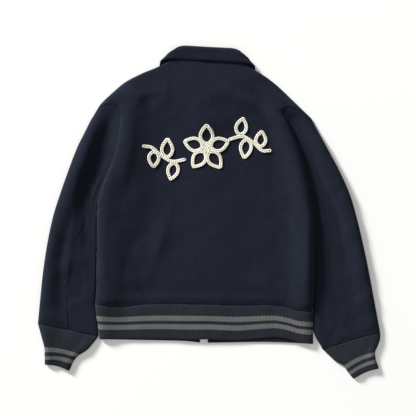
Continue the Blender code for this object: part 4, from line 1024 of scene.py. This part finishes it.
def from_edges(points):
    """Distance along the cloth from each point to the nearest of its piece's edges."""
    near = np.full(points.shape[:2], 1e9)
    for axis in (0, 1):
        steps = np.linalg.norm(np.diff(points, axis=axis), axis=-1)
        start = np.zeros_like(np.take(steps, [0], axis))
        run = np.concatenate([start, np.cumsum(steps, axis)], axis)
        near = np.minimum(near, np.minimum(run, np.take(run, [-1], axis) - run))
    return near


def plan_distance(points, line):
    """For each point, in plan: its distance from a line, the nearest place's share, its side."""
    xy = points[..., :2]
    line = np.array([tuple(p)[:2] for p in line], float)
    runs = np.diff(line, axis=0)
    lengths = np.linalg.norm(runs, axis=1)
    before = np.concatenate([[0], np.cumsum(lengths)])
    near = np.full(xy.shape[:-1], 1e9)
    share, side = np.zeros_like(near), np.zeros_like(near)
    for start, run, length, done in zip(line, runs, lengths, before):
        off = xy - start
        t = np.clip(off @ run / max(length**2, 1e-12), 0, 1)
        away = np.linalg.norm(off - t[..., None] * run, axis=-1)
        nearer = away < near
        near = np.where(nearer, away, near)
        share = np.where(nearer, (done + t * length) / before[-1], share)
        side = np.where(nearer, run[0] * off[..., 1] - run[1] * off[..., 0], side)
    return near, share, np.sign(side)


def crease_relief(points, table):
    """The sum of a table's creases: each a soft ridge or trough along a curved line."""
    total = np.zeros(points.shape[:-1])
    for _, ax, ay, mx, my, bx, by, height, left_half, right_half in table:
        line = smooth_line([(ax, ay), (mx, my), (bx, by)], steps=7)
        away, share, side = plan_distance(points, line)
        half = np.where(side > 0, left_half, right_half)
        taper = np.sin(np.pi * (CREASE_END + (1 - 2 * CREASE_END) * share))
        total += height * taper * np.exp(-((away / half) ** 2))
    return total


def rumple(points, size, height, seed):
    """Slow, uneven waves of about the given size."""
    draw = np.random.default_rng(seed)
    total = np.zeros(points.shape[:-1])
    for _ in range(WAVES):
        angle, phase = draw.uniform(0, math.pi), draw.uniform(0, 2 * math.pi)
        length = size * draw.uniform(*WAVE_LENGTHS)
        along = points[..., 0] * math.cos(angle) + points[..., 1] * math.sin(angle)
        total += np.sin(2 * math.pi * along / length + phase)
    return height * total / WAVES_SUM


def grid_faces(rows, columns, first, loop, turned):
    """Quads of a grid of points numbered from first."""
    wide = columns if loop else columns - 1
    i, j = (n.ravel() for n in np.meshgrid(np.arange(rows - 1), np.arange(wide), indexing="ij"))
    k = (j + 1) % columns
    low, high = i * columns, (i + 1) * columns
    quads = np.stack([low + j, low + k, high + k, high + j], 1)
    return first + (quads[:, ::-1] if turned else quads)


def border_rings(rows, columns, loop):
    """The point numbers round a grid's free borders, each as one closed ring."""
    low = (rows - 1) * columns
    if loop:
        return [np.arange(columns)[::-1], low + np.arange(columns)]
    ring = [*range(0, low, columns), *range(low, low + columns - 1)]
    ring += [*range(low + columns - 1, columns - 1, -columns), *range(columns - 1, 0, -1)]
    return [np.array(ring)]


def placed(name, data):
    """An object of the given mesh, light or camera, in the scene."""
    made = bpy.data.objects.new(name, data)
    bpy.context.scene.collection.objects.link(made)
    return made


def make_piece(name, vertices, polygons, materials, slots=None, knit=None):
    """A mesh object from points in mm; knit is each corner's place in the cloth, in mm."""
    mesh = bpy.data.meshes.new(name)
    mesh.from_pydata((np.asarray(vertices) * MM).tolist(), [], np.asarray(polygons).tolist())
    for material in materials:
        mesh.materials.append(material)
    if slots is not None:
        mesh.polygons.foreach_set("material_index", slots.astype(np.int32))
    if knit is not None:
        corners = np.empty(len(mesh.loops), np.int32)
        mesh.loops.foreach_get("vertex_index", corners)
        layer = mesh.uv_layers.new(name="knit")
        layer.data.foreach_set("uv", knit[corners].ravel().astype(np.float32))
    mesh.shade_smooth()
    piece = pieces[name] = placed(name, mesh)
    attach(piece, "jacket")
    return piece


def shell(name, node_name, points, materials, dip, bulge, out=None, knit=None,
          row_slots=None):
    """A closed cloth shell behind an outer face, in place of its CAD node.

    dip lowers the outer face alone; bulge rounds the edges, as a share of the wall; row_slots
    gives the material number of each row of faces.
    """
    _, wall, flip, loop = forms[node_name]
    rows, columns = points.shape[:2]
    out = facing(points, flip, loop) if out is None else out
    outer = points - np.broadcast_to(dip, points.shape[:2])[..., None] * out
    inner = points - wall * out
    outer[..., 2] = np.maximum(outer[..., 2], 0)
    inner[..., 2] = np.maximum(inner[..., 2], INSIDE_LOW)
    count = rows * columns
    places = [outer.reshape(-1, 3), inner.reshape(-1, 3)]
    quads = [grid_faces(rows, columns, 0, loop, flip),
             grid_faces(rows, columns, count, loop, not flip)]
    slots = np.zeros(rows - 1, int) if row_slots is None else np.asarray(row_slots)
    face_slots = [np.repeat(slots, columns if loop else columns - 1)] * 2
    sources = [np.arange(count), np.arange(count)]
    made = 2 * count
    for ring in border_rings(rows, columns, loop):
        edge, behind = places[0][ring], places[1][ring]
        run = np.roll(edge, -1, axis=0) - np.roll(edge, 1, axis=0)
        away = np.cross(run, edge - behind)
        away /= np.linalg.norm(away, axis=-1, keepdims=True) + 1e-12
        away *= 1 if flip else -1
        places.append(0.5 * (edge + behind) + bulge * wall * away)
        middle, following = made + np.arange(len(ring)), np.roll(np.arange(len(ring)), -1)
        beside = ring[following]
        outer_side = np.stack([ring, middle, middle[following], beside], 1)
        inner_side = np.stack([middle, count + ring, count + beside, middle[following]], 1)
        both = np.concatenate([outer_side, inner_side])
        quads.append(both if flip else both[:, ::-1])
        face_slots.append(np.tile(slots[np.minimum(ring // columns, rows - 2)], 2))
        sources.append(ring)
        made += len(ring)
    at_corner = None if knit is None else knit.reshape(-1, 2)[np.concatenate(sources)]
    piece = make_piece(name, np.concatenate(places), np.concatenate(quads), materials,
                       np.concatenate(face_slots), at_corner)
    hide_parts(node_name)


# ---------------------------------------------------------------- finishes
def linear(colour):
    """An sRGB hex colour as linear RGBA."""
    parts = [int(colour[i:i + 2], 16) / 255 for i in (1, 3, 5)]
    return (*(c / 12.92 if c < 0.04045 else ((c + 0.055) / 1.055) ** 2.4 for c in parts), 1)


def finish(name):
    """A new material without nodes."""
    material = bpy.data.materials.new(name)
    material.use_nodes = True
    material.node_tree.nodes.clear()
    return material


def node(material, kind, inputs=(), **settings):
    """Adds a shader node; an input is a value, or (node, output) to link it from.

    The helpers under it return such a (node, output).
    """
    tree = material.node_tree
    made = tree.nodes.new("ShaderNode" + kind)
    for name, value in settings.items():
        setattr(made, name, value)
    for socket, value in dict(inputs).items():
        if isinstance(value, tuple) and isinstance(value[0], bpy.types.Node):
            tree.links.new(value[0].outputs[value[1]], made.inputs[socket])
        else:
            made.inputs[socket].default_value = value
    return made


def on_object(material):
    """Places in the piece's own axes, in metres."""
    return node(material, "TexCoord"), "Object"


def noise(material, place, size, detail, rough=0.5):
    """Noise with grains of about size metres."""
    return node(material, "TexNoise", {"Vector": place, "Scale": 1 / size, "Detail": detail,
                                       "Roughness": rough}), 0


def slanting_lines(material, place, pitch, waver, detail):
    """Slanting lines about pitch metres apart, which waver."""
    return node(material, "TexWave", {"Vector": place, "Scale": 1 / (2 * pitch),
                                      "Distortion": waver, "Detail": detail},
                bands_direction="DIAGONAL"), 1


def weighted(material, first, weight, second):
    """first * weight + second."""
    return node(material, "Math", {0: first, 1: weight, 2: second}, operation="MULTIPLY_ADD"), 0


def zigzag(material, value, half):
    """value as a zigzag between 0 and half."""
    return node(material, "Math", {0: value, 1: half}, operation="PINGPONG"), 0


def ranged(material, value, low, high, to_low=0.0, to_high=1.0):
    """value moved from the range low to high to another one, and kept inside it."""
    return node(material, "MapRange", {0: value, 1: low, 2: high, 3: to_low, 4: to_high}), 0


def shaded(material, share, dark, light):
    """A colour between two sRGB colours."""
    return node(material, "Mix", {0: share, 6: linear(dark), 7: linear(light)}, data_type="RGBA"), 2


def bumpy(material, height, strength, depth):
    """A bump by height, of so many metres."""
    return node(material, "Bump", {"Height": height, "Strength": strength, "Distance": depth}), 0


def surface(material, inputs):
    """Ends a material with a Principled shader of the given inputs."""
    shader = node(material, "BsdfPrincipled", inputs)
    node(material, "OutputMaterial", {"Surface": (shader, 0)})
    return material


def melton(name, dark, light):
    """Melton: woven wool, milled and napped until felted fibres hide the weave.

    The eye gets a matt cloth, softly mottled, with a short fuzz that pales it at its edges.
    The fuzz is under 1 mm on the real cloth, and drawn to 2.5 mm as well so that it shows.
    """
    wool = finish(name)
    place = on_object(wool)
    felted = noise(wool, place, 0.014, 3.0)
    tufts = noise(wool, place, 0.0025, 4.0, 0.7)
    fibres = noise(wool, place, 0.0006, 2.0)
    spread = ranged(wool, weighted(wool, felted, 0.45, tufts), 0.45, 1.0)
    nap = weighted(wool, tufts, 2.0, fibres)
    return surface(wool, {
        "Base Color": shaded(wool, spread, dark, light), "Roughness": 0.95, "IOR": 1.5,
        "Specular IOR Level": 0.2, "Sheen Weight": 0.12, "Sheen Roughness": 0.45,
        "Sheen Tint": linear("#8C93AE"), "Normal": bumpy(wool, nap, 0.5, 0.0003),
    })


def rib_knit(name, hollow, crest):
    """1 x 1 rib knit in wool: upright ridges one stitch wide, with purl hollows between.

    The eye gets fine upright lines, each ridge a chain of small Vs. The colour is painted shade:
    hollow is the darker colour painted into the purl hollows, crest the paler one on the ridges,
    on top of the shading the mesh's ridges get from the lamps. The ridges are in the mesh at
    3.4 mm; the Vs are one stitch high, 2.4 mm.
    """
    knit = finish(name)
    laid = node(knit, "UVMap", uv_map="knit")
    parts = node(knit, "SeparateXYZ", {0: (laid, 0)})
    off_crest = zigzag(knit, (parts, 0), RIB_PITCH / 2)
    stitch = zigzag(knit, weighted(knit, off_crest, 0.9, (parts, 1)), STITCH_HEIGHT / 2)
    fuzz = noise(knit, on_object(knit), 0.0022, 4.0, 0.7)
    # painted shade: the colour runs from crest on the ridges down to the darker hollow colour in
    # the purl hollows
    painted_hollow_shade = ranged(knit, off_crest, 0.0, RIB_PITCH / 2, 1.0, 0.0)
    spread = ranged(knit, weighted(knit, fuzz, 0.6, painted_hollow_shade), 0.2, 1.3)
    return surface(knit, {
        "Base Color": shaded(knit, spread, hollow, crest), "Roughness": 0.9, "IOR": 1.5,
        "Specular IOR Level": 0.25, "Sheen Weight": 0.1, "Sheen Roughness": 0.5,
        "Sheen Tint": linear("#9AA2AE"),
        "Normal": bumpy(knit, weighted(knit, fuzz, 0.8, stitch), 0.6, 0.0003),
    })


def cotton_twill():
    """Zip tape: woven cotton-polyester twill, dyed. The eye gets a fine slanting line, 0.9 mm."""
    twill = finish("zip tape twill")
    lines = slanting_lines(twill, on_object(twill), 0.0009, 0.6, 1.0)
    return surface(twill, {
        "Base Color": shaded(twill, lines, "#161A26", "#242A3C"), "Roughness": 0.8, "IOR": 1.5,
        "Specular IOR Level": 0.3, "Normal": bumpy(twill, lines, 0.5, 0.00015),
    })


def worn_brass():
    """Brass: tumbled castings and drawn wire, dulled by handling. The eye gets a soft warm metal,
    browner and rougher in patches about 4 mm wide, with fine scratches along the zip."""
    brass = finish("worn brass")
    place = on_object(brass)
    patches = noise(brass, place, 0.004, 4.0)
    along = node(brass, "Mapping", {"Vector": place, "Scale": (1.0, 0.08, 1.0)})
    scratches = noise(brass, (along, 0), 0.0004, 2.0)
    return surface(brass, {
        "Base Color": shaded(brass, patches, "#7C6236", "#B8965A"), "Metallic": 1.0,
        "Roughness": ranged(brass, patches, 0.3, 0.7, 0.48, 0.3),
        "Normal": bumpy(brass, scratches, 0.25, 0.00005),
    })


def spun_yarn(name, dark, light, turn):
    """Plied wool or cotton yarn, turned about once in so many metres. The eye gets a soft matt
    strand with slanting lines where its plies meet."""
    yarn = finish(name)
    place = on_object(yarn)
    plies = slanting_lines(yarn, place, turn, 1.5, 2.0)
    both = weighted(yarn, plies, 0.5, noise(yarn, place, 0.003, 3.0))
    return surface(yarn, {
        "Base Color": shaded(yarn, both, dark, light), "Roughness": 0.85, "IOR": 1.5,
        "Specular IOR Level": 0.25, "Sheen Weight": 0.15, "Sheen Roughness": 0.5,
        "Normal": bumpy(yarn, both, 0.5, 0.0002),
    })


def studio_floor():
    """A pale painted board. To the camera it is partly self-lit, which gives a clean white with
    the shadow still on it."""
    board = finish("pale board")
    grain = noise(board, on_object(board), 1 / 1.2, 2.0)
    matt = node(board, "BsdfDiffuse", {"Color": shaded(board, grain, "#F9F9F8", "#FDFDFC")})
    white = node(board, "Emission", {"Color": linear("#FEFEFE"), "Strength": 1.0})
    ray = node(board, "LightPath")
    seen = (ray, "Is Camera Ray")
    for kind in ("Is Glossy Ray", "Is Transmission Ray"):
        seen = (node(board, "Math", {0: seen, 1: (ray, kind)}, operation="MAXIMUM"), 0)
    share = node(board, "Math", {0: seen, 1: FLOOR_GLOW}, operation="MULTIPLY")
    mixed = node(board, "MixShader", {0: (share, 0), 1: (matt, 0), 2: (white, 0)})
    node(board, "OutputMaterial", {"Surface": (mixed, 0)})
    return board


# ---------------------------------------------------------------- cloth pieces
def level_share(height, gain, start):
    """1 for level cloth, less where it turns over, by the height of its outward direction."""
    return np.clip(gain * height - start, 0, 1)


def band(away, height, place, half):
    """A soft ridge or trough centred at the distance place from a line."""
    return height * np.exp(-(((away - place) / half) ** 2))


def laid_folds(points, out, seed):
    """Moves a wool face out by its creases, and by slow uneven waves."""
    up, down = (level_share(side * out[..., 2], *LEVEL_FOR_FOLDS) for side in (1, -1))
    upper = crease_relief(points, CREASES) + rumple(points, *UPPER_WAVES, seed)
    upper += rumple(points, *SMALL_WAVES, seed + 1)
    under = crease_relief(points, UNDER_CREASES) + UNDER_LIFT
    under += rumple(points, *UNDER_WAVES, seed + 2)
    return up * upper - down * np.maximum(under, 0) + (1 - up - down) * FOLD_SWELL


def kept_above(points, moved):
    """Troughs stay off the layer underneath, and level out softly above it."""
    floor = np.minimum(points[..., 2], LAYER_TOP)
    above = moved[..., 2] - floor
    soft = np.clip(above + LEVEL_OUT, 0, None) ** 2 / (4 * LEVEL_OUT)
    moved[..., 2] = floor + np.where(above > LEVEL_OUT, above, soft)
    return moved


def over_shoulder(points):
    """1 where seams show in full, less round the top of the sleeve heads, where they lie flat."""
    y = points[..., 1]
    between_ends = eased((y - SHOULDER_LOW) / SHOULDER_FADE)
    between_ends *= eased((SHOULDER_HIGH - y) / SHOULDER_FADE)
    return 1 - FLAT_SEAM * between_ends


def along_armholes(points, shape):
    """What the seam allowances raise or sink, as one band beside each armhole."""
    return over_shoulder(points) * sum(
        band(plan_distance(points, smooth_line(armhole, steps=5))[0], *shape)
        for armhole in (LEFT_ARMHOLE, RIGHT_ARMHOLE))


def hem_easing(points):
    """The wool puffs out above the tighter hem band, in uneven gathers."""
    up = plan_distance(points, smooth_line(HEM_SEAM, steps=5))[0]
    total = band(up, *HEM_PUFF)
    for x, height, half, reach in HEM_GATHERS:
        fade = eased(1 - up / reach) * eased(up / GATHER_START)
        total += fade * band(points[..., 0], height, x, half)
    return total


def wool_piece(name, node_name, seed, step, dip=WOOL_DIP, bulge=EDGE_BULGE, extra=None):
    """A wool piece; its outer face turns in by dip along its edges, where the seams are.

    extra gives what seams raise or sink further in, on the upper side.
    """
    flip = forms[node_name][2]
    points = wool_face(node_name, step)
    out = facing(points, flip)
    relief = laid_folds(points, out, seed)
    if extra is not None:
        relief += level_share(out[..., 2], *LEVEL_FOR_SEAMS) * extra(points)
    moved = kept_above(points, points + relief[..., None] * out)
    out = facing(moved, flip)
    level = level_share(np.abs(out[..., 2]), *LEVEL_FOR_DIPS)
    turned_in = level * over_shoulder(moved) * band(from_edges(moved), dip, 0, DIP_REACH)
    shell(name, node_name, moved, [wool], turned_in, bulge, out)
    faces[name] = np.concatenate([moved, out], axis=-1)


def rib_rows(borders, length):
    """Row shares with one at each stripe's border, and the stripe number of each row of faces."""
    rows, slots = [0.0], []
    for number, (a, b) in enumerate(zip(borders, borders[1:])):
        count = max(1, round((b - a) * length / KNIT_ROW))
        rows += [a + (b - a) * (i + 1) / count for i in range(count)]
        slots += [number % 2] * count
    start, end = KNIT_EDGE_ROWS
    return [0.0, start, *rows[1:-1], end, 1.0], [slots[0], *slots, slots[-1]]


def rib_piece(name, node_name, borders, length, ribs, seed):
    """A knit piece of so many ribs, with its ridges in the mesh and its stripes as materials."""
    _, _, flip, loop = forms[node_name]
    rows, slots = rib_rows(borders, length)
    points = rib_face(node_name, rows, 4 * ribs + (0 if loop else 1))
    out = facing(points, flip, loop)
    number = np.arange(points.shape[1])
    ridge = RIB_HEIGHT * np.cos(np.pi * number / 2)[None] * np.ones((len(rows), 1))
    waves = rumple(points, *KNIT_WAVES, seed) * level_share(out[..., 2], *LEVEL_FOR_KNIT)
    fade = eased(np.array(rows) / KNIT_START)[:, None]
    level = level_share(np.abs(out[..., 2]), *LEVEL_FOR_DIPS)
    moved = points + (fade * (ridge + waves) + (1 - level) * FOLD_SWELL)[..., None] * out
    down = (np.array(rows) * length)[:, None]
    laid = np.stack(np.broadcast_arrays(number[None] * RIB_PITCH / 4, down), -1)
    (seam_dip, seam_reach), (end_dip, end_reach) = KNIT_SEAM_DIP, KNIT_END_DIP
    dip = level * (band(down, seam_dip, 0, seam_reach) + band(down, end_dip, length, end_reach))
    shell(name, node_name, moved, [rib, stripe], dip, EDGE_BULGE, out, laid, slots)


def inset_line(name, border, inset):
    """The line on a piece's outer face this far in from a border, with its outward direction."""
    grid = faces[name]
    turned = {"first row": grid, "last row": grid[::-1], "first column": grid.swapaxes(0, 1),
              "last column": grid.swapaxes(0, 1)[::-1]}[border]
    steps = np.linalg.norm(np.diff(turned[:INSET_ROWS, :, :3], axis=0), axis=-1)
    run = np.concatenate([np.zeros((1, steps.shape[1])), np.cumsum(steps, axis=0)])
    return np.array([[np.interp(inset, run[:, j], turned[:len(run), j, k]) for k in range(6)]
                     for j in range(run.shape[1])])


def evenly_along(line, pitch):
    """Places along a line at an even pitch, each with its forward direction."""
    run = np.concatenate([[0], np.cumsum(np.linalg.norm(np.diff(line[:, :3], axis=0), axis=1))])
    at = np.arange(pitch / 2, run[-1], pitch)
    places = np.stack([np.interp(at, run, line[:, k]) for k in range(line.shape[1])], 1)
    ahead, behind = (np.stack([np.interp(at + step, run, line[:, k]) for k in range(3)], 1)
                     for step in (LOOK_AHEAD, -LOOK_AHEAD))
    forward = ahead - behind
    return places, forward / (np.linalg.norm(forward, axis=1, keepdims=True) + 1e-9)


def copies(name, pattern, quads, places, forward, up, material):
    """One object of many copies of a small form: pattern is in (along, across, up)."""
    up = up / (np.linalg.norm(up, axis=1, keepdims=True) + 1e-9)
    across = np.cross(up, forward)
    across /= np.linalg.norm(across, axis=1, keepdims=True) + 1e-9
    base = np.stack([forward, across, up], 1)
    points = places[:, None] + np.einsum("pk,nkx->npx", pattern, base)
    numbers = np.arange(len(places))[:, None, None] * len(pattern) + quads[None]
    piece = make_piece(name, points.reshape(-1, 3), numbers.reshape(-1, quads.shape[1]), [material])


def tube_quads(rings, sides, closed):
    """Quads of a tube of so many rings of points, open-ended or closed on itself."""
    long = rings if closed else rings - 1
    i, j = (n.ravel() for n in np.meshgrid(np.arange(long), np.arange(sides), indexing="ij"))
    n, k = (i + 1) % rings, (j + 1) % sides
    return np.stack([i * sides + j, i * sides + k, n * sides + k, n * sides + j], 1)


def stitch_line(name, lines):
    """Thread along the lines, as separate stitches whose ends go into the cloth."""
    radius = THREAD / 2
    around = np.arange(THREAD_POINTS) * 2 * np.pi / THREAD_POINTS
    pattern = np.array([
        (along * STITCH, radius * size * math.cos(a), radius * (size * math.sin(a) + rise))
        for along, size, rise in STITCH_RINGS for a in around
    ])
    found = [evenly_along(line, STITCH_PITCH) for line in lines]
    places = np.concatenate([p for p, _ in found])
    forward = np.concatenate([f for _, f in found])
    quads = tube_quads(len(STITCH_RINGS), THREAD_POINTS, False)
    copies(name, pattern, quads, places[:, :3], forward, places[:, 3:], thread)


# ---------------------------------------------------------------- embroidery
def leaf_line(x, y, angle, length, width, start):
    """A leaf or petal as one closed line, from its base round its tip and back."""
    turn = math.radians(angle)
    belly, blunt = LEAF_SHAPE
    line = []
    for i in range(LEAF_POINTS + 1):
        t = i / LEAF_POINTS
        reach = 1 - abs(2 * t - 1)
        off = 0
        if 0 < reach < 1:
            off = width / 2 * math.sin(math.pi * reach**belly) ** blunt * (1 if t < 0.5 else -1)
        along = start + length * reach
        line.append((x + along * math.cos(turn) - off * math.sin(turn),
                     y + along * math.sin(turn) + off * math.cos(turn)))
    return line


def chain_stitch(name, lines, cloth_name):
    """Heavy yarn in chain stitch: each link is a loop that the next one holds down."""
    cloth_face = faces[cloth_name]
    rows, columns = cloth_face.shape[:2]
    ground = BVHTree.FromPolygons(cloth_face[..., :3].reshape(-1, 3).tolist(),
                                  grid_faces(rows, columns, 0, False, False).tolist())
    pattern = []
    half_length, half_width = LINK_LENGTH / 2, LINK_WIDTH / 2 * LINK_CORE
    for a in np.arange(LINK_POINTS) * 2 * np.pi / LINK_POINTS:
        along = half_length * math.cos(a)
        across = half_width * math.sin(a) * (1 + LINK_TAPER * math.cos(a))
        slope = np.array([-half_length * math.sin(a), half_width * math.cos(a)])
        out = np.array([slope[1], -slope[0]]) / np.linalg.norm(slope) * YARN / 2
        rise = YARN * (LINK_RISE[0] + LINK_RISE[1] * math.cos(a))
        for b in np.arange(YARN_POINTS) * 2 * np.pi / YARN_POINTS:
            pattern.append((along + out[0] * math.cos(b), across + out[1] * math.cos(b),
                            rise + YARN / 2 * math.sin(b)))
    places, forwards, ups = [], [], []
    for line in lines:
        dense = np.array([tuple(p) for p in smooth_line(line, steps=6)])
        at, forward = evenly_along(np.hstack([dense, np.zeros((len(dense), 1))]), LINK_PITCH)
        for p, f in zip(at, forward):
            above = Vector((p[0], p[1], DROP_HEIGHT))
            hit, up, _, _ = ground.ray_cast(above, Vector((0, 0, -1)))
            up = up if up.z > 0 else -up
            f = Vector(f) - up * up.dot(Vector(f))
            places.append(hit)
            forwards.append(f.normalized())
            ups.append(up)
    quads = tube_quads(LINK_POINTS, YARN_POINTS, True)
    copies(name, np.array(pattern), quads, np.array(places), np.array(forwards), np.array(ups),
           yarn)


# ---------------------------------------------------------------- zip
def front_height(front, y, from_edge):
    """Height of a front's outer face at y, this far in from its front edge."""
    rows = front[:SIDE_STATION - len(COLLAR) + 1]
    heights = []
    for row in rows:
        edge, beside = row[-1], row[-2]
        heights.append(edge.lerp(beside, from_edge / abs(beside.x - edge.x)).z)
    return between([row[-1].y for row in rows], heights, y)


def keep_tape(front, side, sign):
    """The coarse form of one zip tape, between the chain and its far edge."""
    near, far = CHAIN_HALF_WIDTH + SEAM_GAP, CHAIN_HALF_WIDTH + SEAM_GAP + TAPE_WIDTH
    edge = [row[-1].y for row in front[:SIDE_STATION - len(COLLAR) + 1]]
    grid = []
    for y in [ZIP_BOTTOM + TAPE_SHORT, *(y for y in edge if y < ZIP_TOP - TAPE_ROW), ZIP_TOP]:
        ends = [(sign * near, front_height(front, y, 0)),
                (sign * far, front_height(front, y, far - HALF_OPENING))]
        grid.append([Vector((zip_x(y) + x, y, z + TAPE_LOW + TAPE)) for x, z in sorted(ends)])
    keep_form(f"zip_tape_{side}", grid, TAPE)


def zip_teeth(front):
    """The closed chain: stamped teeth from both sides by turns, each nose between two others."""
    half_length, half_height = TOOTH_LENGTH / 2, CHAIN_THICK / 2
    pattern = [(y, x, z * half_height) for y in (-half_length, half_length) for x, z in TOOTH]
    count = len(TOOTH)
    points, polygons = [], []
    low, high = ZIP_BOTTOM + BOX_LENGTH + SEAM_GAP, SLIDER_Y - SLIDER_LENGTH / 2
    for i in range(int((high - low) / TOOTH_PITCH * 2) - 1):
        y = low + (i + 1) * TOOTH_PITCH / 2
        z = TAPE_LOW + TAPE / 2 + front_height(front, y, 0)
        sign = 1 if i % 2 else -1
        first = len(points)
        points += [(zip_x(y) - sign * x, y + along, z + up) for along, x, up in pattern]
        ends = [tuple(range(first, first + count)),
                tuple(range(first + count, first + 2 * count))]
        turned = 0 if sign > 0 else 1
        ends[turned] = ends[turned][::-1]
        polygons += ends
        for k in range(count):
            n = (k + 1) % count
            quad = (first + k, first + n, first + count + n, first + count + k)
            polygons.append(quad if sign > 0 else quad[::-1])
    mesh = bpy.data.meshes.new("zip_teeth")
    mesh.from_pydata((np.array(points) * MM).tolist(), [], polygons)
    mesh.materials.append(brass)
    piece = pieces["zip_teeth"] = placed("zip_teeth", mesh)
    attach(piece, "jacket")
    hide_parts("zip_chain")


# ---------------------------------------------------------------- the jacket
wool = melton("melton wool", "#0F131A", "#1A2032")
# Of each pair, the first colour is painted shade for the purl hollows, the second the colour on the
# ridges
rib = rib_knit("rib knit", "#161B22", "#252B34")
stripe = rib_knit("rib knit stripe", "#4E4E50", "#737273")
thread = spun_yarn("sewing thread", "#12151F", "#1C2233", 0.0012)
yarn = spun_yarn("embroidery yarn", "#E6DFCE", "#F6F1E4", 0.003)
twill = cotton_twill()
brass = worn_brass()

for side, sign, table, armhole, cuff in (
    ("left", -1, LEFT_SLEEVE, LEFT_ARMHOLE, LEFT_CUFF),
    ("right", 1, RIGHT_SLEEVE, RIGHT_ARMHOLE, RIGHT_CUFF),
):
    top, under = (stepped_off(seam_3d(armhole, heights), SEAM_GAP, sign)
                  for heights in (ARMHOLE_TOP, ARMHOLE_UNDER))
    build_sleeve(side, table, top, under, cuff, sign)
back_panel, front_panels = build_body()
build_band(back_panel, front_panels)
build_collar(front_panels)
for side, sign in (("left", -1), ("right", 1)):
    keep_tape(front_panels[side], side, sign)

wool_piece("back_panel", "back", 11, BACK_STEP,
           extra=lambda p: along_armholes(p, ARMHOLE_RAISE) + hem_easing(p))
for number, side in enumerate(("left", "right")):
    wool_piece(f"front_{side}_panel", f"front_{side}", 21 + number, FRONT_STEP)
    for half, seed in (("top", 31), ("under", 41)):
        wool_piece(f"{half}_sleeve_{side}", f"sleeve_{side}_{half}", seed + number, SLEEVE_STEP,
                   dip=SLEEVE_DIP, extra=lambda p: along_armholes(p, ARMHOLE_GROOVE))
    rib_piece(f"cuff_{side}_rib", f"cuff_{side}", CUFF_STRIPES, CUFF_LENGTH, CUFF_RIBS, 51 + number)
rib_piece("hem_band", "hem_rib", RIB_STRIPES, BAND_LENGTH, BAND_RIBS, 61)
wool_piece("collar_fall", "collar_leaf", 71, COLLAR_STEP, dip=LEAF_DIP, bulge=COLLAR_BULGE)
wool_piece("collar_band", "collar_stand", 72, COLLAR_STEP)

for side in ("left", "right"):
    points = close_to_edges(spline_along(forms[f"zip_tape_{side}"][0], TAPE_STEP)).swapaxes(0, 1)
    points = close_to_edges(spline_along(points, TAPE_FINE_STEP)).swapaxes(0, 1)
    shell(f"tape_{side}_woven", f"zip_tape_{side}", points, [twill], 0, EDGE_BULGE)
zip_teeth(front_panels["left"])
for name in ("zip_box", "zip_slider", "zip_pull"):
    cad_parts[name].data.materials.clear()
    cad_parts[name].data.materials.append(brass)

# Stitching beside the borders; it stops short of the neck and of the leaf's corners
stitching = {}
for side in ("left", "right"):
    stitching[f"sleeve_stitching_{side}"] = [
        inset_line(f"top_sleeve_{side}", "first column", inset) for inset in BACK_SEAM_INSETS]
    stitching[f"wrist_stitching_{side}"] = [
        inset_line(f"{half}_sleeve_{side}", "last row", HEM_INSET) for half in ("top", "under")]
    stitching[f"front_stitching_{side}"] = [
        inset_line(f"front_{side}_panel", "last column", FRONT_INSET)[:-4]]
stitching["hem_stitching"] = [inset_line("back_panel", "first row", HEM_INSET)]
stitching["collar_stitching"] = [inset_line("collar_fall", "last row", COLLAR_INSET)[3:-3]]
for name, lines in stitching.items():
    stitch_line(name, lines)

petals = [leaf_line(*leaf, PETAL_START if leaf[:2] == FLOWER else LEAF_START) for leaf in LEAVES]
eye = [(FLOWER[0] + EYE_RADIUS * math.cos(a), FLOWER[1] + EYE_RADIUS * math.sin(a))
       for a in np.linspace(0, 2 * math.pi, 9)]
chain_stitch("embroidered_spray", [*STEMS, *petals, eye], "back_panel")


# ---------------------------------------------------------------- studio
board = bpy.data.meshes.new("studio_floor")
corners = [(x * FLOOR_HALF, y * FLOOR_HALF, FLOOR_Z)
           for x, y in ((-1, -1), (1, -1), (1, 1), (-1, 1))]
board.from_pydata(corners, [], [(0, 1, 2, 3)])
board.materials.append(studio_floor())
floor = placed("studio_floor", board)

key = bpy.data.lights.new("key light", "AREA")
key.shape = "DISK"
key.size = KEY_SIZE
key.energy = (LIGHT - FILL[0]) * (math.pi * KEY_DISTANCE) ** 2 / math.sin(KEY_HEIGHT)
lamp = placed("key light", key)
toward = Vector((math.cos(KEY_AZIMUTH) * math.cos(KEY_HEIGHT),
                 math.sin(KEY_AZIMUTH) * math.cos(KEY_HEIGHT), math.sin(KEY_HEIGHT)))
lamp.location = KEY_DISTANCE * toward
lamp.rotation_euler = toward.to_track_quat("Z", "Y").to_euler()

room = bpy.data.worlds.new("studio room")
room.use_nodes = True
fill = room.node_tree.nodes["Background"].inputs
fill["Color"].default_value = (*FILL, 1)
fill["Strength"].default_value = 1.0
bpy.context.scene.world = room

view = bpy.data.cameras.new("camera")
view.lens = CAMERA_LENS
view.sensor_width = CAMERA_SENSOR
camera = placed("camera", view)
camera.location = CAMERA_AT
bpy.context.scene.camera = camera
bpy.context.scene.view_settings.view_transform = "Standard"
